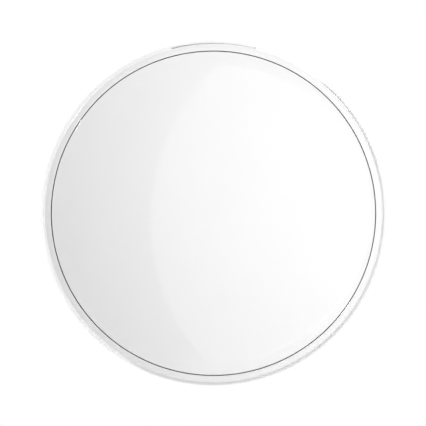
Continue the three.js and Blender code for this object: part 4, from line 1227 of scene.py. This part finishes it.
switch = block("button_switch_body", (-3, 30.45, 14.1), (3, 34.05, 16.1))
cut(switch, block("plunger's well", (-1, 32, 14.45), (1, 36, 15.75)))
for x in (-3, 3):
    cut(switch, block("cover's edge", (x - 0.35, 30, 15.7), (x + 0.35, 31.2, 17)))
soften(switch, 0.12)
finish(switch, black_pbt, "black_plastic", "head", "button_switch")

plunger = block("switch_plunger_nylon", (-0.8, 33.45, 14.65), (0.8, 35.35, 15.55))
round_edges(plunger, 0.3, at_end(plunger, "top"), 3)
soften(plunger, 0.05, 1)
finish(plunger, black_pbt, "black_plastic", "press_bar", "switch_plunger")

# ---------------- temperature sensor
# The sensor that reads the room's air above the lower vents: a small epoxy package with a round
# membrane, on a tongue of board that keeps it away from the warm electronics.

THERMOMETER_UP = -35.15

sensor_board = slab("sensor_board_fr4", 8, 7.9, 0, -33.6, *SMALL_BOARD, 0.5, 3)
for x in (-2.6, 2.6):
    cut(sensor_board, slab("heat break", 0.6, 4.1, x, -34.55, 13, 15))
soften(sensor_board, 0.05, 1)
finish(sensor_board, green_board, "board_green", "head", "sensor_board")

thermometer = slab("temperature_sensor_package", 3, 3, 0, THERMOMETER_UP, 14.1, 15.1)
round_edges(thermometer, 0.15, at_end(thermometer, "front"), 2)
cut(thermometer, rod("membrane", 0.7, 14.8, 15.5, 0, THERMOMETER_UP, 24, tip=0.85))
finish(thermometer, black_epoxy, "black_plastic", "head", "temperature_sensor")

# ---------------- pin header
# It joins the head to the wall plate: a tall black moulding soldered to the main board, through
# which six square gold-plated pins run, with tapered tips.

header = slab("pin_header_body", 14, 3, 0, HEADER_UP, 11.2, BOARD_SEAT, 0.25, 2)
round_edges(header, 0.2, at_end(header, "back"), 2)
for x in range(-6, 7, 2):
    for up in (HEADER_UP - 1.7, HEADER_UP + 1.7):
        cut(header, slab("rib gap", 0.5, 0.8, x, up, 12.5, 23.5))
finish(header, black_pbt, "black_plastic", "head", "pin_header")

pin = slab("pin_header_pins", 0.7, 0.7, FIRST_PIN_X, HEADER_UP, 6.3, 11.25)
extend(pin, "back", 0.6, (0.45, 1, 0.45))
soften(pin, 0.06, 1)

# Gold over bronze: a warm, even shine that picks the pins out of the black.
gold = metal("gold_plated_bronze", "#E6C268", "#D9B055", 0.22, 0.2)
finish(row_of(pin), gold, "nickel", "head", "pin_header")

# ---------------- cells
# Two AAA cells in the pocket, side by side and head to tail. Each is a drawn steel can, nickel
# plated, under a shrunk plastic sleeve with a plain band, and a pressed nub at its plus end.

CELL_R = 5.25
CELL_HALF = 22.25
CELL_OUT = 17.35
CELL_UP = 5.55
CELL_SHIFT = 0.95
SLEEVE = 0.12
BAND_FROM = 13

can = turn("battery_upper_can", [
    (0, -CELL_HALF),
    (3.4, -CELL_HALF),
    (3.6, 0.25 - CELL_HALF),
    (4.2, 0.25 - CELL_HALF),
    (4.4, 0.05 - CELL_HALF),
    *rounded(CELL_R - SLEEVE - 0.5, 0.55 - CELL_HALF, 0.5, -90, 0),
    *rounded(CELL_R - SLEEVE - 0.5, CELL_HALF - 1.75, 0.5, 0, 90),
    (4.0, CELL_HALF - 1.25),
    (3.8, CELL_HALF - 1.45),
    (2.6, CELL_HALF - 1.45),
    (2.4, CELL_HALF - 1.25),
    (1.95, CELL_HALF - 1.2),
    (1.9, CELL_HALF - 1.1),
    *rounded(1.6, CELL_HALF - 0.3, 0.3, 0, 90),
    (0, CELL_HALF),
], ROUND_STEPS)
sleeve = turn("battery_upper_sleeve", [
    (4.45, 0.02 - CELL_HALF),
    *rounded(CELL_R - 0.5, 0.52 - CELL_HALF, 0.5, -90, 0),
    *rounded(CELL_R - 0.5, CELL_HALF - 1.72, 0.5, 0, 90),
    (4.45, CELL_HALF - 1.22),
    (4.45, CELL_HALF - 1.28),
    *rounded(CELL_R - SLEEVE - 0.48, CELL_HALF - 1.76, 0.5, 90, 0),
    *rounded(CELL_R - SLEEVE - 0.48, 0.56 - CELL_HALF, 0.5, 0, -90),
    (4.45, 0.08 - CELL_HALF),
    (4.45, 0.02 - CELL_HALF),
], ROUND_STEPS)

# Nickel plate: a warm, bright grey with faint drawing marks.
nickel_plate = metal("nickel_plated_steel", "#D2D0C8", "#C2C0B7", 0.22, 0.3)

# Printed shrink sleeve: glossy film with a slate ground and a pale band at the plus end, a little
# wrinkled where it shrank over the shoulders.
film, tree = surface("printed_shrink_sleeve")
sides = add(tree, "SeparateXYZ", {0: add(tree, "TexCoord").outputs["Object"]}).outputs
along = maths(tree, "MULTIPLY", sides["X"], maths(tree, "SIGN", sides["Z"]))
band = spread(tree, along, 0, 1, (BAND_FROM - 0.1) * MM, BAND_FROM * MM)
wrinkle = noise(tree, 2.5, 2)
coat(film, {
    "Base Color": mix(tree, band, "#3A424B", "#C9CED2"),
    "Roughness": spread(tree, wrinkle, 0.2, 0.34),
    "IOR": 1.5,
    "Normal": relief(tree, wrinkle, 0.3, 0.02),
})
for piece, part, material, slot in (
    (can, "can", nickel_plate, "nickel"),
    (sleeve, "sleeve", film, "cell_jacket"),
):
    laid_along_x(piece, CELL_UP, CELL_OUT).data.transform(shifted(CELL_SHIFT))
    lower_piece = copied(piece, turned(180), f"battery_lower_{part}")
    finish(piece, material, slot, "head", "battery_upper")
    finish(lower_piece, material, slot, "head", "battery_lower")

# ---------------- cell contacts
# Stamped, nickel-plated contacts on the pocket's end walls: a coil of wire for each cell's flat
# end, and a pressed dimple for each nub. The bridge at the left joins the two cells.

SHEET_INSIDE = 24.35
SHEET_OUTSIDE = 24.75
SHEET_BACK = 12.9
SHEET_FRONT = 21.8
WIRE_R = 0.35
COIL_TURNS = 2.5
COIL_WIDE = 3.6
COIL_NARROW = 2.2
COIL_END = 21.87
POINTS_PER_TURN = 24


def contact_sheet(name, low, high):
    sheet = block(name, (SHEET_INSIDE, low, SHEET_BACK), (SHEET_OUTSIDE, high, SHEET_FRONT))
    round_edges(sheet, 1.2, runs_along("x"))
    return sheet


def dimple(up):
    """A rounded nub pressed out of the sheet towards the cell."""
    nub = rod("dimple", 1.35, SHEET_INSIDE - 0.8, SHEET_INSIDE + 0.1, tip=1.9)
    round_edges(nub, 0.4, at_end(nub, "back"), 3)
    return laid_along_x(nub, up, CELL_OUT)


def coil(up):
    """Wire wound in a narrowing coil, whose first and last half turns lie flat."""
    base = SHEET_INSIDE - WIRE_R + 0.1
    path = []
    for i in range(int(COIL_TURNS * POINTS_PER_TURN) + 1):
        turns = i / POINTS_PER_TURN
        risen = min(max((turns - 0.5) / (COIL_TURNS - 1), 0), 1)
        risen = risen * risen * (3 - 2 * risen)
        radius = COIL_WIDE + (COIL_NARROW - COIL_WIDE) * turns / COIL_TURNS
        angle = math.tau * turns
        path.append((base + (COIL_END - base) * risen, up + radius * math.cos(angle),
                     CELL_OUT + radius * math.sin(angle)))
    piece = trace("coil", path)
    bpy.ops.object.mode_set(mode="OBJECT")
    bpy.ops.object.convert(target="CURVE")
    piece.data.bevel_depth = WIRE_R * MM
    piece.data.bevel_resolution = 2
    piece.data.use_fill_caps = True
    bpy.ops.object.convert(target="MESH")
    bpy.ops.object.mode_set(mode="EDIT")
    close_up()
    return piece


bridge = contact_sheet("contact_bridge_nickel", -10.3, 10.3)
for out in (SHEET_BACK, SHEET_FRONT):
    waist = block("waist", (24, -1.6, out - 2.4), (25, 1.6, out + 2.4))
    round_edges(waist, 0.8, runs_along("x"))
    cut(bridge, waist)
plus = contact_sheet("contact_positive_nickel", 1, 10.3)
minus = contact_sheet("contact_negative_nickel", -10.3, -1)
for sheet in (bridge, plus, minus):
    soften(sheet, 0.06, 1)
fuse(bridge, dimple(CELL_UP), coil(-CELL_UP))
fuse(plus, dimple(CELL_UP))
fuse(minus, coil(-CELL_UP))
finish(round_axis(bridge, 180), nickel_plate, "nickel", "head", "contact_bridge")
finish(plus, nickel_plate, "nickel", "head", "contact_positive")
finish(minus, nickel_plate, "nickel", "head", "contact_negative")

# ---------------- screws
# Eight pan-head screws with cross recesses, cold headed and zinc plated, their threads rolled:
# four hold the case to the chassis from behind, and four the main board from in front.

HEAD_R = 1.9
HEAD_HEIGHT = 1.1
CORE_R = 0.86
CREST_R = 1.1
THREAD_PITCH = 0.8
THREAD_TURNS = 6
HEADS = (
    ("case", CASE_SCREWS, 11.75, 0),  # kind, columns, level under the head, and turn to face it
    ("board", BOARD_SCREWS, 25.75, 180),
)

thread = []
for i in range(THREAD_TURNS):
    rise = THREAD_PITCH * i
    thread += [(CORE_R, 0.3 + rise), (CREST_R, 0.66 + rise), (CREST_R, 0.74 + rise)]
screw = turn("screw", [
    (0, -HEAD_HEIGHT),
    (1.0, -HEAD_HEIGHT),
    *rounded(HEAD_R - 0.6, 0.6 - HEAD_HEIGHT, 0.6, -75, 0, 5),
    (HEAD_R, -0.06),
    (HEAD_R - 0.06, 0),
    (CORE_R + 0.1, 0),
    *thread,
    (CORE_R, 5.2),
    (0.4, 6),
    (0, 6),
], 32)
recess = slab("recess", 2.3, 0.44, 0, 0, -2, -0.55)
fuse(recess, slab("recess", 0.44, 2.3, 0, 0, -2, -0.55))
fuse(recess, rod("recess", 0.75, -1.9, -0.35, sides=4, tip=0.3))
cut(screw, recess)

# Zinc plate over steel: bluish grey with a soft shine, and the faint flow of the heading die.
zinc = metal("zinc_plated_steel", "#C6C9CE", "#B4B8BF", 0.3, 0.25)
for number in range(4):
    for kind, angles, head_out, facing in HEADS:
        placed = Matrix.Translation(at(SCREW_R, 0, head_out)) @ Matrix.Rotation(math.radians(facing), 4, "Z")
        name = f"{kind}_screw_{number + 1}"
        piece = copied(screw, turned(angles[number]) @ placed, f"{name}_zinc")
        finish(piece, zinc, "spring_steel", "head", name)
bpy.data.objects.remove(screw)
